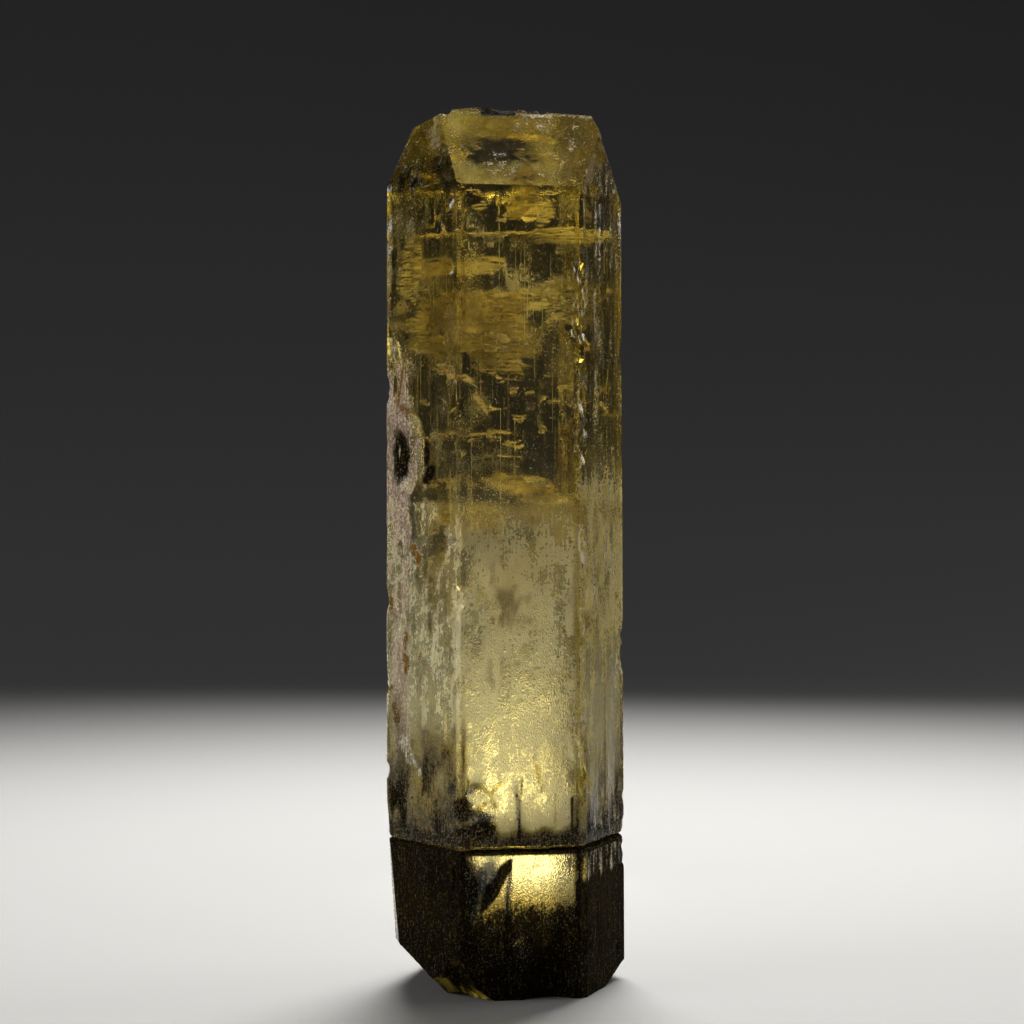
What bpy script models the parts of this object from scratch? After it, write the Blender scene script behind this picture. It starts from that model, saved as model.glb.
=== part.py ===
"""Heliodor: one golden beryl crystal, a six-sided prism that stands on its broken foot.

The crystal is one solid. It starts as a tall block, which is cut by the planes of the prism
faces, the bevels of its edges and the faces of its top, and is then worn: growth ledges and
grooves run along the faces, a fracture crosses the foot, flakes have left scars on the left
edge, the edges are nicked, the flat top is pitted and the foot is broken off unevenly.

Units are metres, +Z is up and the crystal's foot rests on z = 0. Azimuths are measured about
the crystal's axis from -Y, the front, towards +X, the right.
"""

import math

import bmesh
import bpy
import numpy as np
from mathutils import Vector

MM = 0.001

# Driving sizes
FACE_WIDTH = 9.0 * MM
HEIGHT = 65.19 * MM
FRONT_TURN = 9.0
SHOULDER = 58.8 * MM
FRACTURE_HEIGHT = 10.9 * MM
APOTHEM = FACE_WIDTH * math.sqrt(3.0) / 2.0
BLOCK_HALF_WIDTH = 1.6 * FACE_WIDTH

# The six prism faces, counted from the front one towards the right: azimuth, distance from
# the axis at mid height, and how far the face leans in for each unit that it rises
MID_HEIGHT = 0.5 * HEIGHT
PRISM_FACES = [
    (FRONT_TURN, APOTHEM, 0.0),
    (FRONT_TURN + 60.0, APOTHEM + 0.11 * MM, 0.004),
    (FRONT_TURN + 120.0, APOTHEM + 0.09 * MM, 0.004),
    (FRONT_TURN + 180.0, APOTHEM, 0.001),
    (FRONT_TURN + 240.0, APOTHEM - 0.03 * MM, -0.001),
    (FRONT_TURN + 300.0, APOTHEM + 0.02 * MM, 0.0),
]

# Flats that blunt the prism's edges: azimuth, distance from the axis at mid height, lean
EDGE_FLATS = [
    (39.0, 8.92 * MM, 0.001),
    (99.0, 9.06 * MM, 0.005),
    (159.0, 8.93 * MM, 0.002),
    (219.0, 8.84 * MM, 0.0),
    (276.0, 8.84 * MM, 0.0),
    (339.0, 8.92 * MM, 0.0),
]

# Faces of the top: azimuth, distance from the axis, height there, lean
TOP_FACES = [
    (9.0, APOTHEM, SHOULDER, 0.855),
    (309.0, APOTHEM, SHOULDER + 0.3 * MM, 0.322),
    (69.0, APOTHEM, SHOULDER, 0.030),
    (93.0, 9.02 * MM, SHOULDER - 0.5 * MM, 0.403),
    (276.0, 8.84 * MM, SHOULDER + 0.65 * MM, 0.440),
    (189.0, APOTHEM, SHOULDER + 1.0 * MM, 0.070),
    (249.0, APOTHEM, SHOULDER + 2.0 * MM, 0.160),
    (159.0, 8.86 * MM, SHOULDER + 3.4 * MM, 0.620),
    (219.0, 8.84 * MM, SHOULDER + 4.2 * MM, 0.900),
]

# The flat top falls gently to the right of its crest and to the left of it, and its left
# front corner is broken off: azimuth, distance from the axis, height there, lean
TOP_FALL_RIGHT = 0.072
TOP_FALL_LEFT = 0.13
CORNER_BREAK_FALL = 0.42
TOP_FLATS = [
    (90.0, 0.0, HEIGHT, 1.0 / TOP_FALL_RIGHT),
    (270.0, 1.4 * MM, HEIGHT + 0.1 * MM, 1.0 / TOP_FALL_LEFT),
    (278.0, 6.85 * MM, 63.86 * MM, 1.0 / CORNER_BREAK_FALL),
]

# The left edge tapers in below the fracture: azimuth, distance, height, lean
FOOT_TAPER = (278.0, 8.84 * MM, 13.6 * MM, -0.075)

# Breaks round the foot: azimuth, distance from the axis at z = 0, and rise for each unit out
FOOT_BREAKS = [
    (279.0, 4.9 * MM, 1.00),
    (318.0, 6.4 * MM, 0.85),
    (92.0, 7.5 * MM, 0.80),
    (205.0, 6.5 * MM, 0.60),
    (140.0, 7.1 * MM, 0.45),
]

# Shell-shaped scars: azimuth of the face or edge, distance of its surface from the axis,
# offset along it to the right, height, half width, half height and depth, in millimetres
FLAKE_SCARS = [
    (309.0, 7.81, -1.5, 39.6, 2.1, 3.1, 0.50),
    (306.0, 7.90, -3.1, 45.3, 1.4, 2.9, 0.38),
    (279.0, 8.84, 0.0, 15.9, 1.1, 0.6, 0.22),
    (309.0, 7.81, -3.6, 34.6, 1.0, 2.0, 0.28),
    (309.0, 7.81, -2.9, 27.2, 0.9, 1.3, 0.25),
    (99.0, 9.06, 0.2, 47.0, 0.9, 1.6, 0.20),
    (189.0, 7.79, 1.8, 30.0, 1.6, 2.2, 0.35),
    (249.0, 7.76, -1.2, 50.0, 1.3, 1.9, 0.30),
]
FOOT_SCARS = [
    (9.0, 7.79, 2.1, 1.2, 2.0, 4.1, 1.00),
    (351.0, 7.95, -2.6, 0.4, 1.5, 2.2, 0.60),
    (189.0, 7.79, 1.0, 0.4, 2.6, 2.2, 0.90),
]
TOP_SCARS = [
    (9.0, 2.25, -0.3, 65.35, 0.95, 0.50, 0.45),
    (9.0, 2.10, 2.55, 65.10, 0.30, 0.36, 0.30),
    (9.0, 2.20, 1.5, 65.20, 0.45, 0.22, 0.30),
    (330.0, 3.9, -2.7, 64.75, 0.80, 0.36, 0.50),
]

# Surface wear
LEDGE_DEPTHS = (0.07 * MM, 0.20 * MM)
LEDGE_LENGTHS = (7.0 * MM, 30.0 * MM)
LEDGES_PER_FACE = 6
LEDGE_MARGIN = 0.7 * MM
LEDGE_FILL = 0.86
FRACTURE_DEPTH = 0.34 * MM
FRACTURE_HALF_GAP = 0.20 * MM
FRACTURE_WANDER = 0.16 * MM
FRACTURE_STEPS = 7
NICK_SIZES = (0.35 * MM, 0.75 * MM)
NICKS_PER_EDGE = 4
PIT_WIDTHS = (0.35 * MM, 0.95 * MM)
PIT_COUNT = 9
PIT_SPREAD = 5.0 * MM
PIT_MIDDLE = (0.8 * MM, 2.6 * MM, 0.0)
PIT_TURN = 137.5
SEED = 4866


def outward(turn):
    """Return the level direction that points away from the axis at an azimuth in degrees."""
    angle = math.radians(turn)
    return Vector((math.sin(angle), -math.cos(angle), 0.0))


def sideways(turn):
    """Return the level direction that runs along a face of that azimuth, to its right."""
    angle = math.radians(turn)
    return Vector((math.cos(angle), math.sin(angle), 0.0))


def cut_away(bm, point, normal):
    """Cut off all that lies beyond a plane, and close the cut with one flat face."""
    geometry = bm.verts[:] + bm.edges[:] + bm.faces[:]
    result = bmesh.ops.bisect_plane(
        bm, geom=geometry, dist=1e-7, plane_co=point, plane_no=normal, clear_outer=True
    )
    rim = [item for item in result["geom_cut"] if isinstance(item, bmesh.types.BMEdge)]
    if rim:
        bmesh.ops.edgeloop_fill(bm, edges=rim)


def new_object(name, bm):
    """Put a bmesh into a new object of the scene."""
    bmesh.ops.recalc_face_normals(bm, faces=bm.faces[:])
    mesh = bpy.data.meshes.new(name)
    bm.to_mesh(mesh)
    bm.free()
    item = bpy.data.objects.new(name, mesh)
    bpy.context.scene.collection.objects.link(item)
    return item


def grown_crystal():
    """Return the crystal before any wear: a block cut by the planes of all its faces."""
    bm = bmesh.new()
    bmesh.ops.create_cube(bm, size=1.0)
    for vertex in bm.verts:
        vertex.co.x *= 2.0 * BLOCK_HALF_WIDTH
        vertex.co.y *= 2.0 * BLOCK_HALF_WIDTH
        vertex.co.z = (vertex.co.z + 0.5) * HEIGHT * 1.1
    planes = [(turn, distance, MID_HEIGHT, lean) for turn, distance, lean in PRISM_FACES + EDGE_FLATS]
    for turn, distance, level, lean in planes + TOP_FACES + TOP_FLATS + [FOOT_TAPER]:
        point = outward(turn) * distance + Vector((0.0, 0.0, level))
        cut_away(bm, point, (outward(turn) + Vector((0.0, 0.0, lean))).normalized())
    for turn, distance, rise in FOOT_BREAKS:
        cut_away(bm, outward(turn) * distance, (outward(turn) * rise - Vector((0, 0, 1))).normalized())
    return new_object("heliodor_crystal", bm)


def cutter(name, shapes):
    """Join closed shapes into one hidden object that cuts the crystal."""
    bm = bmesh.new()
    for shape in shapes:
        shape(bm)
    item = new_object(name, bm)
    item.hide_render = True
    item.display_type = "WIRE"
    return item


def carve(crystal, tool):
    """Take a cutter's space out of the crystal."""
    modifier = crystal.modifiers.new(tool.name, "BOOLEAN")
    modifier.operation = "DIFFERENCE"
    modifier.solver = "EXACT"
    modifier.object = tool
    modifier.use_self = True


def lump_shape(centre, axes, half_sizes, fineness, rng, roughness):
    """Return a maker of a lumpy ellipsoid with its own centre, axes and half sizes."""
    bumps = rng.uniform(1.0 - roughness, 1.0 + roughness, 162)

    def make(bm):
        made = bmesh.ops.create_icosphere(bm, subdivisions=fineness, radius=1.0)
        for vertex, bump in zip(made["verts"], bumps):
            local = vertex.co * bump
            steps = [axes[k] * (local[k] * half_sizes[k]) for k in range(3)]
            vertex.co = centre + sum(steps, Vector())

    return make


def scar_shape(turn, reach, offset, level, half_width, half_height, depth, rng):
    """Return a maker of the lump whose cut leaves a shell-shaped scar, sizes in millimetres.

    The lump's centre lies outside the face, so that it cuts in by the depth and meets the
    face in an ellipse of the given half width and half height.
    """
    bulge = 2.2 * depth
    spread = math.sqrt(1.0 - (1.0 - depth / bulge) ** 2)
    centre = outward(turn) * (reach + bulge - depth) + sideways(turn) * offset
    centre.z = level
    axes = (outward(turn), sideways(turn), Vector((0.0, 0.0, 1.0)))
    half_sizes = (bulge * MM, half_width / spread * MM, half_height / spread * MM)
    return lump_shape(centre * MM, axes, half_sizes, 3, rng, 0.035)


def face_reach(face, level):
    """Return a prism face's distance from the axis at a height."""
    _, distance, lean = face
    return distance - lean * (level - MID_HEIGHT)


def ledge_shape(face, offset, low, high, width, depth):
    """Return a maker of a long boat-shaped block that lowers a strip of one face.

    Its floor is parallel to the face and its ends narrow to blunt tips, as growth ledges do.
    """
    turn = face[0]
    tip = min(1.8 * MM, 0.25 * (high - low))
    stations = [(low, 0.25), (low + tip, 1.0), (high - 1.6 * tip, 0.85), (high, 0.2)]

    def make(bm):
        rings = []
        for level, share in stations:
            half = 0.5 * width * share
            surface = face_reach(face, level)
            ring = []
            for side, out in ((-1, -depth), (1, -depth), (1, MM), (-1, MM)):
                point = outward(turn) * (surface + out) + sideways(turn) * (offset + side * half)
                point.z = level
                ring.append(bm.verts.new(point))
            rings.append(ring)
        bm.faces.new(rings[0])
        bm.faces.new(rings[-1])
        for lower, upper in zip(rings, rings[1:]):
            for k in range(4):
                bm.faces.new((lower[k], lower[(k + 1) % 4], upper[(k + 1) % 4], upper[k]))

    return make


def ledge_cutter(rng):
    """Return the cutter of the growth ledges and grooves of the six prism faces."""
    shapes = []
    room = FACE_WIDTH - 2.0 * LEDGE_MARGIN
    for face in PRISM_FACES:
        shares = rng.uniform(0.25, 1.6, LEDGES_PER_FACE) ** 1.5
        lanes = shares / shares.sum() * room
        starts = np.cumsum(lanes) - lanes - 0.5 * room
        for lane, start in zip(lanes, starts):
            length = rng.uniform(*LEDGE_LENGTHS)
            low = rng.uniform(FRACTURE_HEIGHT + 2 * MM, SHOULDER - length - 1.5 * MM)
            depth = rng.uniform(*LEDGE_DEPTHS)
            middle = start + 0.5 * lane
            shapes.append(ledge_shape(face, middle, low, low + length, LEDGE_FILL * lane, depth))
    return cutter("ledge_cutter", shapes)


def fracture_shape(rng):
    """Return a maker of a thin ring with a wedge profile, which opens the transverse fracture."""
    stations = []
    for face in PRISM_FACES:
        for k in range(FRACTURE_STEPS):
            swing = 60.0 * k / FRACTURE_STEPS - 30.0
            reach = face_reach(face, FRACTURE_HEIGHT) / math.cos(math.radians(swing))
            stations.append((face[0] + swing, reach))
    wander = rng.uniform(-FRACTURE_WANDER, FRACTURE_WANDER, len(stations))
    mouth = FRACTURE_HALF_GAP * (FRACTURE_DEPTH + MM) / FRACTURE_DEPTH

    def make(bm):
        loops = []
        for (turn, reach), shift in zip(stations, wander):
            level = FRACTURE_HEIGHT + shift
            profile = [
                (reach - FRACTURE_DEPTH, level),
                (reach + MM, level - mouth),
                (reach + MM, level + mouth),
            ]
            loops.append([
                bm.verts.new(outward(turn) * radius + Vector((0.0, 0.0, height)))
                for radius, height in profile
            ])
        for first, second in zip(loops, loops[1:] + loops[:1]):
            for k in range(3):
                bm.faces.new((first[k], first[(k + 1) % 3], second[(k + 1) % 3], second[k]))

    return make


def nick_cutter(rng):
    """Return the cutter of the small nicks along the prism's edges."""
    shapes = []
    for flat in EDGE_FLATS:
        turn = flat[0]
        axes = (outward(turn), sideways(turn), Vector((0.0, 0.0, 1.0)))
        for _ in range(NICKS_PER_EDGE):
            size = rng.uniform(*NICK_SIZES)
            level = rng.uniform(FRACTURE_HEIGHT + 3 * MM, SHOULDER - 4 * MM)
            centre = outward(turn) * (face_reach(flat, level) + 0.55 * size)
            centre.z = level
            half_sizes = (size, size, size * rng.uniform(1.2, 3.2))
            shapes.append(lump_shape(centre, axes, half_sizes, 2, rng, 0.12))
    return cutter("nick_cutter", shapes)


def pit_cutter(rng):
    """Return the cutter of the six-sided etch pits of the flat top."""
    shapes = []
    for k in range(PIT_COUNT):
        spread = PIT_SPREAD * math.sqrt((k + 0.5) / PIT_COUNT)
        centre = outward(PIT_TURN * k) * spread + Vector(PIT_MIDDLE)
        centre.z = HEIGHT - TOP_FALL_RIGHT * centre.x
        width = rng.uniform(*PIT_WIDTHS)

        def make(bm, centre=centre, width=width):
            made = bmesh.ops.create_cone(
                bm, cap_ends=True, segments=6, radius1=0.05 * width, radius2=width, depth=0.7 * width
            )
            for vertex in made["verts"]:
                vertex.co += centre

        shapes.append(make)
    return cutter("pit_cutter", shapes)


def beryl():
    """Return the crystal's own material, golden beryl seen against the light."""
    material = bpy.data.materials.new("heliodor")
    material.use_nodes = True
    shader = material.node_tree.nodes["Principled BSDF"]
    shader.inputs["Base Color"].default_value = (0.62, 0.52, 0.16, 1.0)
    shader.inputs["Roughness"].default_value = 0.12
    shader.inputs["Metallic"].default_value = 0.0
    shader.inputs["IOR"].default_value = 1.577
    shader.inputs["Transmission Weight"].default_value = 0.9
    return material


def main():
    """Build the crystal and wear it."""
    for item in list(bpy.data.objects):
        bpy.data.objects.remove(item, do_unlink=True)
    rng = np.random.default_rng(SEED)
    crystal = grown_crystal()
    carve(crystal, ledge_cutter(rng))
    carve(crystal, cutter("fracture_cutter", [fracture_shape(rng)]))
    scars = [scar_shape(*scar, rng) for scar in FLAKE_SCARS + FOOT_SCARS + TOP_SCARS]
    carve(crystal, cutter("scar_cutter", scars))
    carve(crystal, nick_cutter(rng))
    carve(crystal, pit_cutter(rng))
    crystal.data.materials.append(beryl())


main()
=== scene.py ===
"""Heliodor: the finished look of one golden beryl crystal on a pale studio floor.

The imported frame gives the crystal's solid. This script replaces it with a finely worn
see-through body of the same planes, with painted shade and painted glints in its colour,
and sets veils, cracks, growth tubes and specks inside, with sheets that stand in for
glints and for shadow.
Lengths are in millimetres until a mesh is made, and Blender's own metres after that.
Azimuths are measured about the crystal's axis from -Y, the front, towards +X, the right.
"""

from __future__ import annotations

import logging
import math
from dataclasses import dataclass, field
from enum import Enum
from functools import reduce
from typing import Any, Callable

import bmesh
import bpy
import numpy as np
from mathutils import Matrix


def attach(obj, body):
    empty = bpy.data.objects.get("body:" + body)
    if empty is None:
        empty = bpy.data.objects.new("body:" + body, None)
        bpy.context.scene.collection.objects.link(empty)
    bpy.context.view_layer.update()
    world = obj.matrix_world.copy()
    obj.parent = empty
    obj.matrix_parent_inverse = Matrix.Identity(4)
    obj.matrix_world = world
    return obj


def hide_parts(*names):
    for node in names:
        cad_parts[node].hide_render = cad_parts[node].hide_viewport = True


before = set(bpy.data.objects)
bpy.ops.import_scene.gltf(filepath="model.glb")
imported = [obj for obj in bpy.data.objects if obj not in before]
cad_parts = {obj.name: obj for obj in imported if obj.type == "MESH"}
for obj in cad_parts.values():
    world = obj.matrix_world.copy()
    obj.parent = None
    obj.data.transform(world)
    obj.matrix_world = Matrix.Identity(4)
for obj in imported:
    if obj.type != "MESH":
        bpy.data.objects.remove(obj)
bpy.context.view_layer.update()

MM = 0.001
SEED = 4866
NODE = "heliodor_crystal"
BODY = "root"
BERYL_IOR = 1.577

Array = np.ndarray
Colour = tuple[float, float, float]
log = logging.getLogger("heliodor")


def outward(azimuth: float) -> Array:
    """Return the level unit vector that points away from the axis at an azimuth in degrees."""
    angle = math.radians(azimuth)
    return np.array([math.sin(angle), -math.cos(angle), 0.0])


def sideways(azimuth: float) -> Array:
    """Return the level unit vector that runs along a face of that azimuth, to its right."""
    angle = math.radians(azimuth)
    return np.array([math.cos(angle), math.sin(angle), 0.0])


def smooth_step(value: Array, low: float, high: float) -> Array:
    """Return 0 below low and 1 above high, with the cubic 3t^2 - 2t^3 between them.

    Args:
        value: the numbers to grade.
        low: where the step starts; it may lie above high, which turns the step round.
        high: where the step ends.

    Returns:
        Array: the graded numbers, from 0 to 1.
    """
    t = np.clip((value - low) / (high - low), 0.0, 1.0)
    return t * t * (3.0 - 2.0 * t)


def highest(*layers: Array) -> Array:
    """Return the greatest of several layers at each point."""
    return reduce(np.maximum, layers)


def share_of(value: Array) -> Array:
    """Return the value cut off below 0 and above 1."""
    return np.clip(value, 0.0, 1.0)


class Noise:
    """A smooth random field, read from a seeded lattice of numbers."""

    SIDE = 64

    def __init__(self, seed: int) -> None:
        """Fill the lattice with numbers from -1 to 1."""
        shape = (self.SIDE, self.SIDE, self.SIDE)
        self.lattice = np.random.default_rng(seed).uniform(-1.0, 1.0, shape)

    def at(self, x: Array, y: Array, z: Array) -> Array:
        """Return the field at places whose unit is one lattice cell.

        Formula: each place takes the numbers at its cell's eight corners, weighted by the
        product of three cubic steps of its fractions along the axes.

        Args:
            x: first coordinate.
            y: second coordinate.
            z: third coordinate.

        Returns:
            Array: numbers from -1 to 1.
        """
        places = np.broadcast_arrays(x, y, z)
        floors = [np.floor(p).astype(int) for p in places]
        shares = [smooth_step(p - f, 0.0, 1.0) for p, f in zip(places, floors)]
        total = np.zeros(places[0].shape)
        for corner in range(8):
            steps = [(corner >> k) & 1 for k in range(3)]
            weight = np.ones(places[0].shape)
            for step, share in zip(steps, shares):
                weight = weight * (share if step else 1.0 - share)
            index = tuple((f + step) % self.SIDE for f, step in zip(floors, steps))
            total += weight * self.lattice[index]
        return total

    def layered(self, x: Array, y: Array, z: Array, octaves: int = 3) -> Array:
        """Return the sum of the field at doubling fineness and halving strength.

        Args:
            x: first coordinate.
            y: second coordinate.
            z: third coordinate.
            octaves: how many layers are added.

        Returns:
            Array: numbers mostly from -1 to 1.
        """
        total = np.zeros(np.broadcast(x, y, z).shape)
        for k in range(octaves):
            total = total + self.at(x * 2**k + 7.3 * k, y * 2**k + 3.1 * k, z * 2**k + 5.7 * k) / 2**k
        return total * 0.6


class Wire:
    """A shader socket that takes part in arithmetic, each step adding one Math node."""

    def __init__(self, bench: "Bench", socket: bpy.types.NodeSocket) -> None:
        """Keep the node bench and the socket."""
        self.bench = bench
        self.socket = socket

    def joined(self, operation: str, *others: Any) -> "Wire":
        """Return the result of a Math node whose first input is this socket.

        Args:
            operation: the Math node's operation.
            others: the further inputs, as wires or numbers.

        Returns:
            Wire: the node's result.
        """
        inputs = dict(enumerate((self, *others)))
        return self.bench.node("ShaderNodeMath", {"operation": operation}, inputs)

    def __add__(self, other: Any) -> "Wire":
        """Add."""
        return self.joined("ADD", other)

    def __mul__(self, other: Any) -> "Wire":
        """Multiply."""
        return self.joined("MULTIPLY", other)

    def __rsub__(self, other: float) -> "Wire":
        """Subtract this from a number."""
        return self.bench.node("ShaderNodeMath", {"operation": "SUBTRACT"}, {0: other, 1: self})

    def highest(self, other: Any) -> "Wire":
        """Return the greater of the two."""
        return self.joined("MAXIMUM", other)

    def step(self, low: float, high: float) -> "Wire":
        """Return 0 at low and 1 at high, smooth between them.

        Args:
            low: the value that gives 0.
            high: the value that gives 1.

        Returns:
            Wire: the graded value.
        """
        settings = {"interpolation_type": "SMOOTHSTEP"}
        flip = low > high
        first, second = (high, low) if flip else (low, high)
        inputs = {"Value": self, "From Min": first, "From Max": second}
        graded = self.bench.node("ShaderNodeMapRange", settings, inputs)
        return 1.0 - graded if flip else graded


class Bench:
    """A material's node tree, and the few ways in which this script adds to it."""

    def __init__(self, name: str) -> None:
        """Start an empty material.

        Args:
            name: the material's name.
        """
        self.material = bpy.data.materials.new(name)
        self.material.use_nodes = True
        self.tree = self.material.node_tree
        self.tree.nodes.clear()
        place = self.node("ShaderNodeTexCoord", output="Object")
        self.place = self.vector("SCALE", place, scale=1.0 / MM)

    def node(
        self,
        kind: str,
        settings: dict[str, Any] | None = None,
        inputs: dict[int | str, Any] | None = None,
        output: int | str = 0,
    ) -> Wire:
        """Add a node and return one of its outputs.

        Args:
            kind: the node's type.
            settings: its own settings, set before its sockets.
            inputs: the values or wires of its sockets, by name or number.
            output: the output that is returned, by name or number.

        Returns:
            Wire: that output.
        """
        made = self.tree.nodes.new(kind)
        for name, value in (settings or {}).items():
            setattr(made, name, value)
        for name, value in (inputs or {}).items():
            if isinstance(value, Wire):
                self.tree.links.new(value.socket, made.inputs[name])
            else:
                made.inputs[name].default_value = value
        return Wire(self, made.outputs[output])

    def vector(
        self, operation: str, first: Wire, second: Any = None, scale: float | None = None
    ) -> Wire:
        """Return the result of a Vector Math node.

        Args:
            operation: the node's operation.
            first: its first vector.
            second: its second vector, where it has one.
            scale: its scale, where it has one.

        Returns:
            Wire: the resulting vector.
        """
        inputs: dict[int | str, Any] = {0: first}
        if second is not None:
            inputs[1] = second
        if scale is not None:
            inputs["Scale"] = scale
        return self.node("ShaderNodeVectorMath", {"operation": operation}, inputs)

    def grain(self, sizes: tuple[float, float, float], detail: float = 2.0, shift: float = 0.0) -> Wire:
        """Return noise whose grains have the given sizes in millimetres along X, Y and Z.

        Args:
            sizes: the grain's size along each axis.
            detail: the layers of finer noise.
            shift: an offset that sets one noise apart from another.

        Returns:
            Wire: noise from 0 to 1.
        """
        stretched = self.vector("MULTIPLY", self.place, tuple(1.0 / s for s in sizes))
        moved = self.vector("ADD", stretched, (shift, 1.7 * shift, 0.6 * shift))
        inputs = {"Vector": moved, "Scale": 1.0, "Detail": detail, "Roughness": 0.6}
        return self.node("ShaderNodeTexNoise", {}, inputs)

    def attribute(self, name: str) -> Wire:
        """Return one of the mesh's own point values."""
        return self.node("ShaderNodeAttribute", {"attribute_name": name}, output="Fac")

    def mixed(self, share: Any, first: Any, second: Any) -> Wire:
        """Return a colour between two others.

        Args:
            share: how much of the second colour there is, as a wire or a number.
            first: the colour at share 0, as a wire or three numbers.
            second: the colour at share 1, as a wire or three numbers.

        Returns:
            Wire: the mixed colour.
        """
        def whole(colour: Any) -> Any:
            """Return the colour with its alpha, or the wire as it is."""
            return colour if isinstance(colour, Wire) else (*colour, 1.0)

        inputs = {0: share, 6: whole(first), 7: whole(second)}
        return self.node("ShaderNodeMix", {"data_type": "RGBA"}, inputs, output=2)

    def bump(self, height: Wire, distance: float) -> Wire:
        """Return a normal that is tilted by a height field, whose full height is in millimetres."""
        return self.node("ShaderNodeBump", {}, {"Height": height, "Distance": distance * MM})

    def shader(self, inputs: dict[int | str, Any]) -> Wire:
        """Return a Principled shader with the given sockets."""
        return self.node("ShaderNodeBsdfPrincipled", {}, inputs)

    def surface(self, shader: Wire, volume: Wire | None = None) -> bpy.types.Material:
        """Connect the material's output and return the material.

        Args:
            shader: the surface's shader.
            volume: the inside's shader, where there is one.

        Returns:
            bpy.types.Material: the finished material.
        """
        inputs: dict[int | str, Any] = {"Surface": shader}
        if volume is not None:
            inputs["Volume"] = volume
        made = self.tree.nodes.new("ShaderNodeOutputMaterial")
        for name, wire in inputs.items():
            self.tree.links.new(wire.socket, made.inputs[name])
        return self.material


@dataclass
class Shape:
    """Points in millimetres, the faces between them, and values kept at the points."""

    points: Array
    faces: Array
    values: dict[str, Array] = field(default_factory=dict)

    def piece(self, name: str, crease: float | None = None) -> bpy.types.Object:
        """Make the shape an object whose place is in its mesh, with doubles merged.

        Args:
            name: the object's name.
            crease: the angle in degrees past which an edge stays sharp, or None for flat faces.

        Returns:
            bpy.types.Object: the new object, in the scene.
        """
        mesh = bpy.data.meshes.new(name)
        mesh.from_pydata((self.points * MM).tolist(), [], self.faces.tolist())
        for key, value in self.values.items():
            layer = mesh.attributes.new(key, "FLOAT", "POINT")
            layer.data.foreach_set("value", value.astype(np.float32))
        bm = bmesh.new()
        bm.from_mesh(mesh)
        bmesh.ops.remove_doubles(bm, verts=bm.verts[:], dist=1e-7)
        bmesh.ops.dissolve_degenerate(bm, edges=bm.edges[:], dist=1e-8)
        bmesh.ops.recalc_face_normals(bm, faces=bm.faces[:])
        loose = [edge for edge in bm.edges if len(edge.link_faces) != 2]
        bm.to_mesh(mesh)
        bm.free()
        if loose:
            log.warning("%s has %d edges without two faces", name, len(loose))
        if crease is not None:
            mesh.shade_smooth()
            mesh.set_sharp_from_angle(angle=math.radians(crease))
        item = bpy.data.objects.new(name, mesh)
        bpy.context.scene.collection.objects.link(item)
        return item


def grid_faces(rows: int, columns: int, closed: bool) -> Array:
    """Return the quads of a grid of points that is stored row by row.

    Formula: the quad at row r and column c joins the points (r, c), (r, c + 1),
    (r + 1, c + 1) and (r + 1, c), and a closed grid joins its last column to its first.

    Args:
        rows: rows of points.
        columns: points in a row.
        closed: whether the rows are rings.

    Returns:
        Array: point numbers, four to a quad.
    """
    r, c = np.meshgrid(np.arange(rows - 1), np.arange(columns if closed else columns - 1), indexing="ij")
    right = (c + 1) % columns
    lower, upper = r * columns, (r + 1) * columns
    quads = np.stack([lower + c, lower + right, upper + right, upper + c])
    return quads.reshape(4, -1).T


def joined(shapes: list[Shape]) -> Shape:
    """Return several shapes as one, with the faces renumbered.

    Args:
        shapes: the shapes, whose faces have the same number of corners.

    Returns:
        Shape: one shape that holds them all.
    """
    counts = np.cumsum([0] + [len(s.points) for s in shapes[:-1]])
    return Shape(
        np.concatenate([s.points for s in shapes]),
        np.concatenate([s.faces + start for s, start in zip(shapes, counts)]),
    )


@dataclass(frozen=True)
class Facet:
    """One flat face: its azimuth, and its distance from the axis at a height, less its lean."""

    azimuth: float
    distance: float
    level: float
    lean: float = 0.0

    def reach(self, height: Array) -> Array:
        """Return the distance from the axis at some heights."""
        return self.distance - self.lean * (height - self.level)

    def top_at(self, places: Array) -> Array:
        """Return the height of a nearly level face above some places."""
        along = places[..., :2] @ outward(self.azimuth)[:2]
        return self.level + (self.distance - along) / self.lean


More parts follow.
